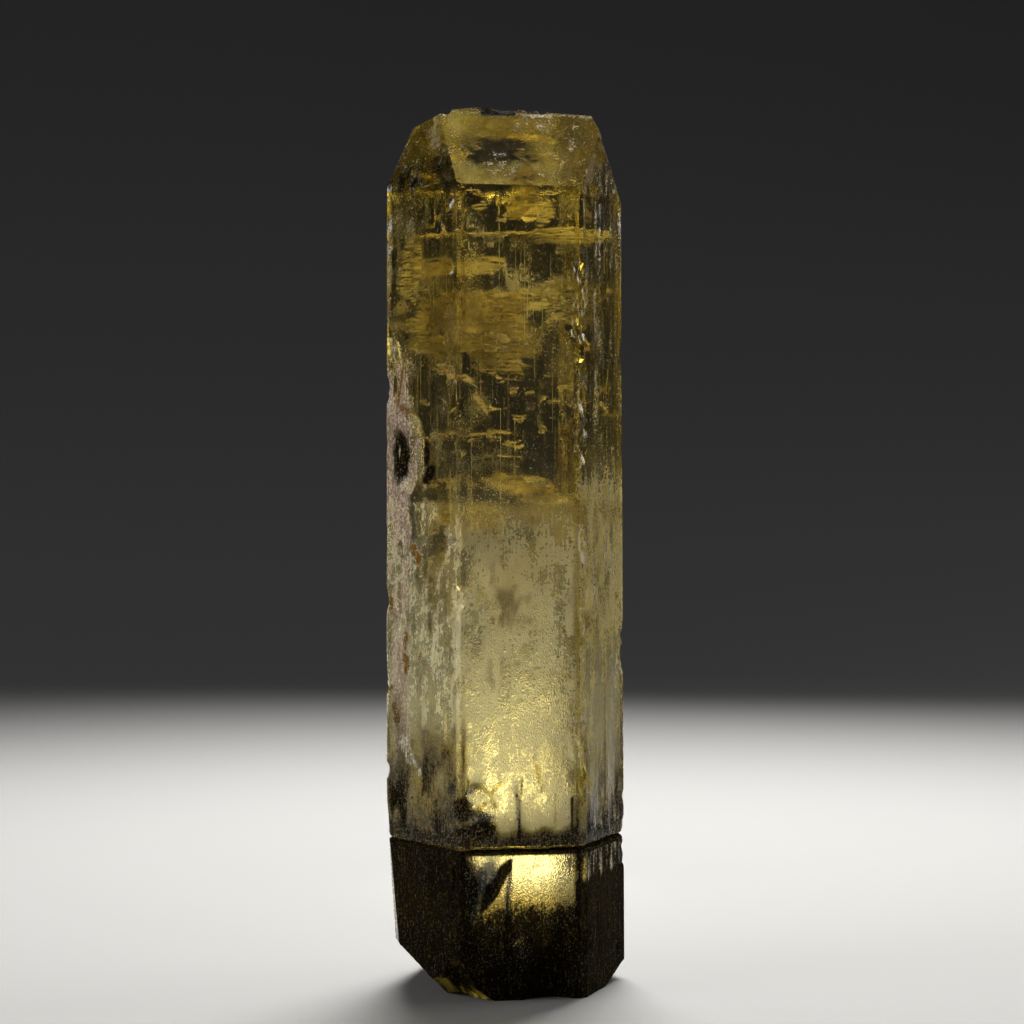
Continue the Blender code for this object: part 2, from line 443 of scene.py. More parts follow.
@dataclass(frozen=True)
class Scar:
    """A shell-shaped scar: the azimuth and distance of its surface, and its place and size."""

    azimuth: float
    distance: float
    offset: float
    level: float
    half_width: float
    half_height: float
    depth: float
    bulging: float = 2.2

    def local(self, points: Array) -> tuple[Array, Array, Array, float]:
        """Return places in the scar's ellipsoid, as shares of its half sizes, and its bulge.

        Formula: the bulge, which is the ellipsoid's half size along the face's normal, is a
        multiple of the scar's depth, and the ellipsoid's middle lies outside the face by the
        bulge less the depth. The other half sizes make the scar's rim as wide and high as
        given where it meets the face.

        Args:
            points: places in millimetres.

        Returns:
            tuple[Array, Array, Array, float]: shares outward, sideways and up, and the bulge.
        """
        bulge = self.bulging * self.depth
        spread = math.sqrt(1.0 - (1.0 - self.depth / bulge) ** 2)
        middle = outward(self.azimuth) * (self.distance + bulge - self.depth)
        middle = middle + sideways(self.azimuth) * self.offset + np.array([0.0, 0.0, self.level])
        away = points - middle
        out = away @ outward(self.azimuth) / bulge
        side = away @ sideways(self.azimuth) / (self.half_width / spread)
        rise = away[..., 2] / (self.half_height / spread)
        return out, side, rise, bulge

    def pushed(self, points: Array, ripple: Array, down: bool) -> Array:
        """Push the points that lie in the scar's ellipsoid to its inner wall.

        Formula: with shares o, s and r of the half sizes along the scar's axes, a point
        where o^2 + s^2 + r^2 < 1 moves to o = -sqrt(1 - s^2 - r^2), or along Z to
        r = -sqrt(1 - o^2 - s^2).

        Args:
            points: places in millimetres.
            ripple: a small number at each point that roughens the wall.
            down: whether points move down instead of in.

        Returns:
            Array: the moved points.
        """
        out, side, rise, bulge = self.local(points)
        size = 1.0 + ripple
        inside = out**2 + side**2 + rise**2 < size**2
        if down:
            wall = -np.sqrt(np.maximum(size**2 - out**2 - side**2, 0.0))
            half = self.half_height / math.sqrt(1.0 - (1.0 - 1.0 / self.bulging) ** 2)
            move = np.where(inside, wall - rise, 0.0)[..., None] * half * np.array([0.0, 0.0, 1.0])
        else:
            wall = -np.sqrt(np.maximum(size**2 - side**2 - rise**2, 0.0))
            move = np.where(inside, wall - out, 0.0)[..., None] * bulge * outward(self.azimuth)
        return points + move


@dataclass
class CrystalForm:
    """The crystal's planes, which the solid in the frame has too, in millimetres."""

    face_width: float = 9.0
    height: float = 65.19
    front_turn: float = 9.0
    shoulder: float = 58.8
    fracture: float = 10.9

    def __post_init__(self) -> None:
        """Work out every plane from the driving sizes."""
        apothem = self.face_width * math.sqrt(3.0) / 2.0
        middle = 0.5 * self.height
        turn = self.front_turn
        top = self.shoulder
        prism = [(0.0, 0.0), (0.11, 0.004), (0.09, 0.004), (0.0, 0.001), (-0.03, -0.001), (0.02, 0.0)]
        facets = [
            Facet(turn + 60.0 * k, apothem + more, middle, lean) for k, (more, lean) in enumerate(prism)
        ]
        facets += [
            Facet(39.0, 8.92, middle, 0.001),
            Facet(99.0, 9.06, middle, 0.005),
            Facet(159.0, 8.93, middle, 0.002),
            Facet(219.0, 8.84, middle),
            Facet(276.0, 8.84, middle),
            Facet(339.0, 8.92, middle),
            Facet(9.0, apothem, top, 0.855),
            Facet(309.0, apothem, top + 0.3, 0.322),
            Facet(69.0, apothem, top, 0.030),
            Facet(93.0, 9.02, top - 0.5, 0.403),
            Facet(276.0, 8.84, top + 0.65, 0.440),
            Facet(189.0, apothem, top + 1.0, 0.070),
            Facet(249.0, apothem, top + 2.0, 0.160),
            Facet(159.0, 8.86, top + 3.4, 0.620),
            Facet(219.0, 8.84, top + 4.2, 0.900),
            Facet(278.0, 8.84, 13.6, -0.075),
        ]
        self.azimuths = sorted({facet.azimuth for facet in facets})
        self.sides = [[f for f in facets if f.azimuth == azimuth] for azimuth in self.azimuths]
        self.prism = [turn + 60.0 * k for k in range(6)]
        self.top_flats = [
            Facet(90.0, 0.0, self.height, 1.0 / 0.072),
            Facet(270.0, 1.4, self.height + 0.1, 1.0 / 0.13),
            Facet(278.0, 6.85, 63.86, 1.0 / 0.42),
        ]
        self.foot_breaks = [
            (279.0, 4.9, 1.00),
            (318.0, 6.4, 0.85),
            (92.0, 7.5, 0.80),
            (205.0, 6.5, 0.60),
            (140.0, 7.1, 0.45),
        ]

    def corners(self, heights: Array) -> tuple[Array, Array]:
        """Return where each side of the cross-section starts and ends at some heights.

        Formula: the line of side i is clipped by the half-plane of every other side j, at
        the place (R_j - R_i cos) / sin along it, where R is a side's distance from the axis
        and cos and sin belong to the angle between the two. A side that is clipped away
        starts and ends where the side before it ends.

        Args:
            heights: heights, in a flat array.

        Returns:
            tuple[Array, Array]: the starts and ends of the sides, as side, height and X, Y.
        """
        reaches = np.array([np.min([f.reach(heights) for f in side], axis=0) for side in self.sides])
        normals = np.array([outward(a)[:2] for a in self.azimuths])
        tangents = np.array([sideways(a)[:2] for a in self.azimuths])
        count = len(self.azimuths)
        starts = np.zeros((count, len(heights), 2))
        ends = np.zeros((count, len(heights), 2))
        active = np.zeros((count, len(heights)), dtype=bool)
        for i in range(count):
            low = np.full(len(heights), -1e3)
            high = np.full(len(heights), 1e3)
            for j in range(count):
                slope = tangents[i] @ normals[j]
                if abs(slope) < 1e-6:
                    continue
                bound = (reaches[j] - reaches[i] * (normals[i] @ normals[j])) / slope
                if slope > 0.0:
                    high = np.minimum(high, bound)
                else:
                    low = np.maximum(low, bound)
            active[i] = high > low
            foot = reaches[i][:, None] * normals[i]
            starts[i] = foot + low[:, None] * tangents[i]
            ends[i] = foot + high[:, None] * tangents[i]
        for k in range(2 * count):
            i = k % count
            gone = ~active[i]
            starts[i][gone] = ends[i - 1][gone]
            ends[i][gone] = ends[i - 1][gone]
        return starts, ends

    def places(self, side: Array, share: Array, heights: Array) -> Array:
        """Return the points at a share of the way along a side, at some heights.

        Args:
            side: the number of each point's side.
            share: how far along that side it is, from 0 to 1.
            heights: its height.

        Returns:
            Array: the points.
        """
        flat = heights.ravel()
        starts, ends = self.corners(flat)
        number = np.arange(len(flat))
        first = starts[side.ravel(), number]
        last = ends[side.ravel(), number]
        level = first + (last - first) * share.ravel()[:, None]
        return np.concatenate([level, flat[:, None]], axis=1).reshape(*heights.shape, 3)

    def top_at(self, places: Array) -> Array:
        """Return the height of the top's flats above some places."""
        return np.min([flat.top_at(places) for flat in self.top_flats], axis=0)

    def foot_at(self, places: Array) -> Array:
        """Return the height of the broken foot's underside at some places."""
        rises = [
            (places[..., :2] @ outward(turn)[:2] - distance) * rise
            for turn, distance, rise in self.foot_breaks
        ]
        return np.maximum(np.max(rises, axis=0), 0.0)

    def kept_inside(self, points: Array, margin: float) -> Array:
        """Return points pushed in until they lie behind every side by a margin.

        Formula: a point that lies past a side's distance less the margin moves back by the
        excess along the side's level normal, side after side, twice over.

        Args:
            points: places in millimetres.
            margin: the least distance from a side.

        Returns:
            Array: the moved points.
        """
        moved = points.copy()
        for _ in range(2):
            for azimuth, side in zip(self.azimuths, self.sides):
                reach = np.min([facet.reach(moved[:, 2]) for facet in side], axis=0) - margin
                excess = np.maximum(moved @ outward(azimuth) - reach, 0.0)
                moved = moved - excess[:, None] * outward(azimuth)
        lowest = self.foot_at(moved) + margin
        moved[:, 2] = np.clip(moved[:, 2], lowest, self.top_at(moved) - margin)
        return moved


@dataclass
class CrystalBody:
    """The clear crystal itself, finely worn: ledges, striae, scars, nicks, pits and a groove."""

    form: CrystalForm
    face_columns: int = 43
    edge_columns: int = 6
    cap_rings: int = 14
    low_zone: float = 9.0
    high_zone: float = 60.0
    groove_depth: float = 0.34
    groove_half_gap: float = 0.20
    groove_wander: float = 0.16
    wave_depth: float = 0.03
    chip_depth: float = 0.28
    ripple_depth: float = 0.05
    edge_reach: float = 0.11
    head_roughness: float = 0.10
    heel_roughness: float = -0.12
    crease: float = 16.0
    flake_scars: tuple[Scar, ...] = (
        Scar(309.0, 7.81, -1.5, 39.6, 2.1, 3.1, 0.50),
        Scar(306.0, 7.90, -3.1, 45.3, 1.4, 2.9, 0.38),
        Scar(279.0, 8.84, 0.0, 15.9, 1.1, 0.6, 0.22),
        Scar(309.0, 7.81, -3.6, 34.6, 1.0, 2.0, 0.28),
        Scar(309.0, 7.81, -2.9, 27.2, 0.9, 1.3, 0.25),
        Scar(99.0, 9.06, 0.2, 47.0, 0.9, 1.6, 0.20),
        Scar(189.0, 7.79, 1.8, 30.0, 1.6, 2.2, 0.35),
        Scar(249.0, 7.76, -1.2, 50.0, 1.3, 1.9, 0.30),
        Scar(9.0, 7.79, 2.1, 1.2, 2.0, 4.1, 1.00),
        Scar(351.0, 7.95, -2.6, 0.4, 1.5, 2.2, 0.60),
        Scar(189.0, 7.79, 1.0, 0.4, 2.6, 2.2, 0.90),
    )
    top_scars: tuple[Scar, ...] = (
        Scar(9.0, 2.25, -0.3, 65.35, 0.95, 0.50, 0.45),
        Scar(9.0, 2.10, 2.55, 65.10, 0.30, 0.36, 0.30),
        Scar(9.0, 2.20, 1.5, 65.20, 0.45, 0.22, 0.30),
        Scar(330.0, 3.9, -2.7, 64.75, 0.80, 0.36, 0.50),
    )

    def __post_init__(self) -> None:
        """Start the random field."""
        self.noise = Noise(SEED + 1)

    def rows(self) -> Array:
        """Return the heights of the rows, closer at the fracture and the shoulder.

        Returns:
            Array: rising heights, with one at each crease above the shoulder's start.
        """
        form = self.form
        spans = [
            (0.0, self.low_zone, 0.30),
            (self.low_zone, form.fracture - 0.6, 0.22),
            (form.fracture - 0.6, form.fracture + 0.6, 0.07),
            (form.fracture + 0.6, 56.0, 0.27),
            (56.0, form.height, 0.23),
        ]
        counts = [max(2, round((b - a) / step)) for a, b, step in spans]
        parts = [np.linspace(a, b, n, endpoint=False) for (a, b, _), n in zip(spans, counts)]
        creases = [facet.level for side in form.sides for facet in side]
        creases = [level for level in creases if 56.0 < level < self.high_zone]
        levels = np.concatenate([*parts, creases, [form.height]])
        levels = np.unique(np.round(levels, 3))
        keep = np.append(True, np.diff(levels) > 0.05)
        return levels[keep | np.isin(levels, np.round(creases, 3))]

    def columns(self) -> tuple[Array, Array]:
        """Return each column's side and its share of the way along that side.

        Returns:
            tuple[Array, Array]: the numbers of the sides, and the shares.
        """
        counts = [
            self.face_columns if azimuth in self.form.prism else self.edge_columns
            for azimuth in self.form.azimuths
        ]
        side = np.repeat(np.arange(len(counts)), counts)
        share = np.concatenate([np.arange(n) / n for n in counts])
        return side, share

    def settled(
        self, side: Array, share: Array, surface: Callable[[Array], Array], start: float
    ) -> Array:
        """Return the height at which each column meets a surface that crosses the crystal.

        Formula: the column's place at a height gives the surface's height there, and that
        height gives the next place, twelve times over.

        Args:
            side: each column's side.
            share: each column's share of the way along it.
            surface: gives the surface's height at places.
            start: the first height.

        Returns:
            Array: one height for each column.
        """
        heights = np.full(len(side), start)
        for _ in range(12):
            heights = surface(self.form.places(side, share, heights))
        return heights

    def lane_depths(self, azimuth: float, across: Array, heights: Array) -> Array:
        """Return how deep growth ledges and striae lie at places on one prism face.

        Formula: the face is parted into upright lanes of random width, and each lane into
        stretches of random depth, whose ends are ramps half a millimetre long. Two sets of
        lanes are added, one broad and one fine.

        Args:
            azimuth: the face's azimuth, which is used for its own random draw.
            across: place across the face, from its middle.
            heights: height.

        Returns:
            Array: depths in millimetres.
        """
        rng = np.random.default_rng(SEED + int(azimuth))
        total = np.zeros(across.shape)
        bins = np.arange(0.0, 66.0, 0.1)
        for count, deepest, longest, ramp in ((9, 0.15, 26.0, 9), (34, 0.045, 11.0, 5)):
            widths = rng.uniform(0.2, 1.6, count) ** 1.6
            borders = np.cumsum(widths) / widths.sum() * 9.4 - 4.7
            table = np.zeros((count, len(bins)))
            for lane in range(count):
                breaks = np.cumsum(rng.uniform(0.12, 1.0, 40) ** 1.5 * longest)
                depths = rng.uniform(0.0, 1.0, 41) ** 1.7 * deepest
                stretches = np.pad(depths[np.searchsorted(breaks, bins)], ramp, "edge")
                table[lane] = np.convolve(stretches, np.ones(ramp) / ramp, "same")[ramp:-ramp]
            lane = np.clip(np.searchsorted(borders, across), 0, count - 1)
            level = np.clip((heights * 10.0).astype(int), 0, len(bins) - 1)
            total += table[lane, level]
        return total

    def relief(self, points: Array, side: Array, share: Array) -> Array:
        """Return the points pushed in by the ledges, striae and waves of the prism faces.

        Args:
            points: the wall's grid of points.
            side: each column's side.
            share: each column's share of the way along it.

        Returns:
            Array: the moved points.
        """
        moved = points.copy()
        for number, azimuth in enumerate(self.form.azimuths):
            chosen = side == number
            strip = points[:, chosen]
            across = strip @ sideways(azimuth)
            heights = strip[..., 2]
            width = np.linalg.norm(strip[:, -1] - strip[:, 0], axis=1)[:, None]
            near_edge = np.minimum(share[chosen], 1.0 - share[chosen])[None, :] * width
            fade = smooth_step(near_edge, 0.0, 0.3)
            wave = self.noise.layered(across / 1.3, heights / 5.0, np.full_like(across, azimuth), 3)
            depth = self.wave_depth * (wave + 0.6)
            if azimuth in self.form.prism:
                upper = [facet.level for facet in self.form.sides[number] if facet.level > 50.0]
                crest = min(upper, default=64.0)
                ends = smooth_step(heights, crest, crest - 0.7) * smooth_step(heights, 11.4, 12.2)
                ends = ends + 0.45 * smooth_step(heights, 10.4, 9.8)
                calm = 0.45 if azimuth == self.form.prism[0] else 0.85
                depth = depth + calm * self.lane_depths(azimuth, across, heights) * ends
            moved[:, chosen] -= (fade * np.maximum(depth, 0.0))[..., None] * outward(azimuth)
        return moved

    def worn(self, points: Array) -> Array:
        """Return the points with the nicks, the fracture's groove and the scars.

        Args:
            points: places on the surface.

        Returns:
            Array: the moved points.
        """
        form = self.form
        x, y, z = points[..., 0], points[..., 1], points[..., 2]
        radius = np.hypot(x, y)
        bearing = np.stack([x / radius, y / radius, np.zeros_like(x)], axis=-1)
        angle = np.arctan2(y, x)
        turn_x, turn_y = 3.0 * np.cos(angle), 3.0 * np.sin(angle)
        wander = self.groove_wander * self.noise.layered(turn_x, turn_y, np.zeros_like(x), 3)
        gap = np.abs(z - form.fracture - wander)
        groove = self.groove_depth * np.clip(1.0 - gap / self.groove_half_gap, 0.0, 1.0)
        chipped = self.noise.layered(x * 0.9, y * 0.9, z * 0.45 + 20.0, 3)
        corner = smooth_step(radius, 8.3, 8.8) * smooth_step(chipped, 0.18, 0.55)
        points = points - bearing * (groove + self.chip_depth * corner)[..., None]
        ripple = self.ripple_depth * self.noise.layered(x * 1.6, y * 1.6, z * 1.6 + 9.0, 3)
        for scar in self.flake_scars:
            points = scar.pushed(points, ripple, down=False)
        for scar in self.top_scars:
            points = scar.pushed(points, ripple, down=True)
        return points

    def edge_nearness(self, wall: Array, side: Array) -> Array:
        """Return how near the wall's points are to the edges between prism faces.

        Formula: with d the distance to the nearest blunted edge, the nearness is
        exp(-(d / edge_reach)^2).

        Args:
            wall: the wall's grid of points.
            side: each column's side.

        Returns:
            Array: a number from 0 to 1 at each point.
        """
        blunt = np.array([azimuth not in self.form.prism for azimuth in self.form.azimuths])[side]
        nearness = np.zeros(wall.shape[:2])
        for shift in range(-4, 5):
            other = np.roll(wall, shift, axis=1)
            away = np.linalg.norm((wall - other)[..., :2], axis=-1)
            near = np.exp(-((away / self.edge_reach) ** 2))
            nearness = np.maximum(nearness, near * np.roll(blunt, shift)[None, :])
        return nearness

    def cap(self, rim: Array, surface: Callable[[Array], Array], rough: float) -> Array:
        """Return rings of points that close one end of the crystal.

        Formula: ring k lies at a share of the way from the rim to the middle, at the
        surface's own height, and fine noise that fades at the rim cuts into it.

        Args:
            rim: the wall's last ring.
            surface: gives the end's height at places.
            rough: how far the noise cuts in, negative where the end faces down.

        Returns:
            Array: the rings after the rim, the last one at the middle.
        """
        middle = rim.mean(axis=0)
        shares = np.linspace(0.0, 1.0, self.cap_rings + 1)[1:] ** 0.85
        rings = rim[None] + (middle - rim)[None] * shares[:, None, None]
        x, y = rings[..., 0], rings[..., 1]
        heights = surface(rings)
        grain = self.noise.layered(x * 1.1, y * 1.1, np.full_like(x, 3.0), 4)
        step = np.floor((grain + 1.0) * 3.0) / 3.0
        cut = rough * (0.6 * step + 0.4 * (grain + 1.0)) * np.minimum(shares * 6.0, 1.0)[:, None]
        free = np.ones_like(cut) if rough > 0.0 else np.clip(heights * 2.0, 0.0, 1.0)
        rings[..., 2] = heights - cut * free
        return rings

    def shape(self) -> Shape:
        """Return the whole closed surface with its values.

        Returns:
            Shape: the crystal's surface.
        """
        form = self.form
        side, share = self.columns()
        top = self.settled(side, share, form.top_at, 64.0)
        foot = self.settled(side, share, form.foot_at, 1.0)
        rows = self.rows()[:, None]
        low = foot + (self.low_zone - foot) * rows / self.low_zone
        risen = (rows - self.high_zone) / (form.height - self.high_zone)
        high = self.high_zone + (top - self.high_zone) * risen
        heights = np.where(rows < self.low_zone, low, np.where(rows > self.high_zone, high, rows))
        sides = np.broadcast_to(side, heights.shape)
        shares = np.broadcast_to(share, heights.shape)
        wall = self.relief(form.places(sides, shares, heights), side, share)
        head = self.cap(wall[-1], form.top_at, self.head_roughness)
        heel = self.cap(wall[0], form.foot_at, self.heel_roughness)
        grid = np.concatenate([heel[::-1], wall, head])
        points = self.worn(grid).reshape(-1, 3)
        points[:, 2] = np.maximum(points[:, 2], 0.0)
        edge = np.zeros(grid.shape[:2])
        edge[len(heel):len(heel) + len(wall)] = self.edge_nearness(wall, side)
        faces = grid_faces(len(grid), len(side), closed=True)
        return Shape(points, faces, SurfaceMarks(form).at(points, edge.ravel()))

    def build(self) -> bpy.types.Object:
        """Make the piece and dress it.

        Returns:
            bpy.types.Object: the crystal.
        """
        item = self.shape().piece("crystal_body", self.crease)
        item.data.materials.append(BerylFinish().material())
        return item


@dataclass(frozen=True)
class Stroke:
    """A narrow mark along a line on a prism face, given as places across the face and heights."""

    path: tuple[tuple[float, float], ...]
    half_width: float
    ragged: float = 0.05

    def at(self, across: Array, heights: Array, wobble: Array) -> Array:
        """Return the mark's strength, a step of the distance to the nearest stretch of the line.

        Args:
            across: places across the face, from its middle.
            heights: heights.
            wobble: a random number that makes the edge uneven.

        Returns:
            Array: numbers from 0 to 1.
        """
        nearest = np.full(across.shape, 1e3)
        for (u0, z0), (u1, z1) in zip(self.path, self.path[1:]):
            length = (u1 - u0) ** 2 + (z1 - z0) ** 2
            share = np.clip(((across - u0) * (u1 - u0) + (heights - z0) * (z1 - z0)) / length, 0.0, 1.0)
            away = np.hypot(across - u0 - share * (u1 - u0), heights - z0 - share * (z1 - z0))
            nearest = np.minimum(nearest, away)
        wide = self.half_width
        return smooth_step(nearest + self.ragged * wobble, 1.6 * wide, 0.3 * wide)


@dataclass(frozen=True)
class Patch:
    """An oval mark on a prism face: its place across the face, height, half sizes and lean."""

    across: float
    level: float
    half_width: float
    half_height: float
    lean: float = 0.0

    def at(self, across: Array, heights: Array, wobble: Array) -> Array:
        """Return the mark's strength, a step of the place's share of the oval's half sizes.

        Args:
            across: places across the face, from its middle.
            heights: heights.
            wobble: a random number that makes the edge uneven.

        Returns:
            Array: numbers from 0 to 1.
        """
        turn = math.radians(self.lean)
        right, rise = across - self.across, heights - self.level
        first = right * math.cos(turn) + rise * math.sin(turn)
        second = rise * math.cos(turn) - right * math.sin(turn)
        share = np.hypot(first / self.half_width, second / self.half_height)
        return smooth_step(share + 0.55 * wobble, 1.25, 0.6)


@dataclass
class Sites:
    """Places on the crystal's surface, with the noises and zones of which its marks are made."""

    form: CrystalForm
    points: Array
    edge: Array
    noise: Noise

    def __post_init__(self) -> None:
        """Read the noises, and grade each face and zone from 0 outside it to 1 inside it.

        Formula: each zone is a smooth step of the place along the face's normal, across it
        or in height, which noise shifts where the zone's border is ragged.
        """
        front, right, left = self.form.prism[0], self.form.prism[1], self.form.prism[5]
        x, y, z = self.points.T
        self.x, self.y, self.z = x, y, z
        self.coarse = self.noise.layered(x / 2.2, y / 2.2, z / 3.0, 4)
        self.upright = self.noise.layered(x / 0.45, y / 0.45, z / 4.0 + 11.0, 4)
        self.blotch = self.noise.layered(x / 1.0 + 5.0, y / 1.0, z / 1.6, 4)
        self.speck = self.noise.layered(x / 0.34 + 2.0, y / 0.34, z / 0.42, 2)
        self.left_across = self.points @ sideways(left)
        self.front_across = self.points @ sideways(front)
        self.right_across = self.points @ sideways(right)
        self.left = smooth_step(self.points @ outward(left), 7.0, 7.5)
        self.front = smooth_step(self.points @ outward(front), 6.9, 7.4)
        self.front_foot = smooth_step(self.points @ outward(front), 5.4, 6.2)
        self.right = smooth_step(self.points @ outward(right), 7.1, 7.5)
        self.back = smooth_step(y, 0.5, 3.0)
        self.low = smooth_step(z + 2.0 * self.coarse, 40.0, 31.0)
        self.above = smooth_step(z, self.form.fracture, 12.0)
        self.under = smooth_step(z + 0.4 * self.blotch, 11.3, 10.6)
        self.golden = smooth_step(z, 42.0, 36.0) * smooth_step(z, 23.0, 27.0) * self.right
        self.strip = smooth_step(self.left_across + 1.6 * self.coarse + 0.8 * self.upright, 0.2, -2.2)
        before = smooth_step(y + 1.2 * self.blotch + 0.8 * self.coarse, 3.2, 0.6)
        self.crown = smooth_step(z, 64.5, 64.9) * before
        band = smooth_step(z, 10.3, 10.6) * smooth_step(z + 0.7 * self.blotch, 12.9, 11.9)
        self.band = band * (1.0 - self.back)
        # painted shade: the side faces darken towards the fracture
        lowered = smooth_step(z + 1.5 * self.blotch + 2.0 * self.upright, 23.0, 13.0)
        self.side_shade = (self.left + 0.9 * self.right) * lowered

    def on_left(self, marks: tuple[Stroke | Patch, ...]) -> Array:
        """Return the strongest of several strokes or patches on the left face."""
        drawn = [mark.at(self.left_across, self.z, self.blotch) for mark in marks]
        return highest(*drawn) * self.left

    def on_front(self, marks: tuple[Stroke | Patch, ...]) -> Array:
        """Return the strongest of several strokes or patches on the front face."""
        drawn = [mark.at(self.front_across, self.z, self.blotch) for mark in marks]
        return highest(*drawn) * self.front


@dataclass
class SurfaceMarks:
    """Where the surface is etched, filmed or rusty, darkened by stains and painted shade, lit by painted
    glints, or deep in colour.
    """

    form: CrystalForm
    left_film: tuple[Patch, ...] = (
        Patch(-1.25, 39.3, 0.85, 3.1, -12.0),
        Patch(-1.6, 43.0, 0.7, 0.7),
        Patch(-2.6, 35.2, 1.4, 2.4),
    )
    left_rust: tuple[Stroke, ...] = (
        Stroke(((-0.7, 47.9), (-2.0, 46.6), (-2.9, 45.2)), 0.24, 0.15),
        Stroke(((-2.9, 45.3), (-3.3, 44.4), (-3.1, 43.2)), 0.45, 0.3),
        Stroke(((-2.4, 42.9), (-1.2, 42.5)), 0.42, 0.3),
        Stroke(((-1.1, 42.2), (-0.2, 41.2), (1.1, 40.2)), 0.20, 0.15),
        Stroke(((-3.9, 28.5), (-3.9, 27.4)), 0.40, 0.9),
        Stroke(((-2.4, 26.1), (-2.1, 25.0), (-1.8, 24.0)), 0.55, 1.1),
        Stroke(((0.1, 25.3), (-0.3, 24.5)), 0.36, 0.6),
        Stroke(((-1.1, 32.5), (-0.7, 31.7)), 0.34, 0.7),
        Stroke(((-3.4, 20.6), (-3.2, 19.6)), 0.34, 0.7),
    )
    left_dark: tuple[Patch, ...] = (
        Patch(-2.95, 39.25, 0.85, 2.3),
        Patch(0.5, 39.5, 0.55, 1.0),
        Patch(0.8, 37.8, 1.15, 0.6, 38.0),
    )
    left_clear: tuple[Patch, ...] = (
        Patch(0.9, 43.3, 1.6, 2.9, -8.0),
        Patch(1.8, 36.8, 1.8, 1.2),
        Patch(0.9, 54.8, 2.0, 2.6),
        Patch(2.3, 33.3, 1.0, 1.9),
    )
    # painted highlights: pale strokes where light catches the left face
    left_painted_glints: tuple[Stroke, ...] = (
        Stroke(((-2.1, 18.2), (-1.8, 17.8), (-1.5, 17.3)), 0.85, 0.7),
        Stroke(((-1.2, 17.2), (-0.4, 16.1)), 0.24, 0.3),
        Stroke(((-3.0, 40.2), (-3.1, 38.8)), 0.10),
        Stroke(((2.3, 46.2), (2.5, 45.1)), 0.10),
        Stroke(((2.9, 46.0), (3.1, 44.9)), 0.07),
        Stroke(((-3.4, 49.6), (-3.5, 49.2)), 0.12),
        Stroke(((4.2, 24.7), (4.3, 24.1)), 0.16),
    )
    front_dark: tuple[Stroke, ...] = (
        Stroke(((0.05, 16.0), (0.0, 14.0), (-0.05, 11.6)), 0.09),
        Stroke(((3.75, 14.6), (3.7, 11.8)), 0.08),
        Stroke(((-0.75, 10.2), (-0.85, 3.2)), 0.07),
    )
    front_faint: tuple[Stroke, ...] = (
        Stroke(((-4.1, 15.9), (-2.9, 15.4), (-2.2, 14.8), (-1.9, 13.9)), 0.20, 0.25),
        Stroke(((-2.3, 14.8), (-1.4, 15.7)), 0.14, 0.2),
        Stroke(((-2.6, 14.2), (-3.4, 13.4), (-4.2, 13.6)), 0.22, 0.3),
        Stroke(((1.2, 16.8), (1.6, 15.0)), 0.14, 0.3),
        Stroke(((2.6, 14.8), (2.5, 12.2)), 0.12, 0.2),
    )
    # painted shade: dark patches low on the front and at the foot, where shadow falls
    front_painted_shade: tuple[Patch, ...] = (
        Patch(-3.7, 12.3, 2.3, 0.75),
        Patch(-4.3, 13.4, 0.9, 1.2),
        Patch(-3.9, 6.6, 1.35, 4.8),
        Patch(1.2, 3.2, 2.4, 1.9),
        Patch(4.0, 4.0, 0.8, 2.6),
    )
    # painted shadow: the dark wedge in the front of the foot
    front_painted_shadow_wedge: Patch = Patch(-2.2, 7.7, 0.60, 2.7, -29.0)
    front_pillar: Patch = Patch(0.05, 3.3, 0.6, 1.3)

    def __post_init__(self) -> None:
        """Start the random field."""
        self.noise = Noise(SEED + 2)

    def at(self, points: Array, edge: Array) -> dict[str, Array]:
        """Return the marks at places on the surface.

        Formula: each mark is a product of steps that place it on its face and between its
        heights, and of noise that breaks it up, and single strokes and patches are added.

        Args:
            points: places in millimetres.
            edge: how near each place is to one of the crystal's edges, from 0 to 1.

        Returns:
            dict[str, Array]: a number from 0 to 1 at each place, for each kind of mark.
        """
        sites = Sites(self.form, points, edge, self.noise)
        marks = {
            "frost": self.frost(sites),
            "film": self.film(sites),
            "rust": self.rust(sites),
            "stain_and_shade": self.stain_and_shade(sites),
            "painted_glint": self.painted_glint(sites),
            "depth": self.depth(sites),
        }
        return {name: share_of(value) for name, value in marks.items()}

    def frost(self, at: Sites) -> Array:
        """Return how strongly the surface is etched.

        Formula: the front face is mottled where it is low, the side faces are streaked, the
        back and the top are blotched, and the clear windows on the left are cut out.

        Args:
            at: the places.

        Returns:
            Array: the etching at each place.
        """
        mottled = np.clip(0.82 + 0.50 * at.coarse + 0.65 * at.blotch + 0.40 * at.speck, 0.15, 1.2)
        uneven = 0.10 + 0.38 * at.low + 0.6 * at.upright + 0.6 * at.blotch + 0.5 * at.speck
        frost = highest(
            at.front * at.low * np.where(at.z > self.form.fracture, mottled, 0.55 + 0.6 * at.blotch),
            0.5 * at.front * smooth_step(at.coarse + 0.4 * at.blotch, 0.15, 0.6),
            at.back * share_of(0.35 + 0.7 * at.coarse + 0.5 * at.blotch),
            at.right * share_of(0.08 + 0.3 * at.low + 0.9 * at.upright + 0.4 * at.speck),
            at.golden * share_of(0.75 + 0.5 * at.blotch + 0.4 * at.upright),
            at.left * share_of(uneven),
            smooth_step(at.z, 58.0, 59.5) * share_of(0.22 + 0.6 * at.blotch + 0.7 * at.speck),
        )
        frost = np.where(at.z > 64.5, np.maximum(frost, 0.7 + 0.4 * at.blotch), frost)
        frost = frost * (1.0 - 0.9 * at.on_left(self.left_clear))
        return np.maximum(frost, 0.5 * at.edge * at.low)

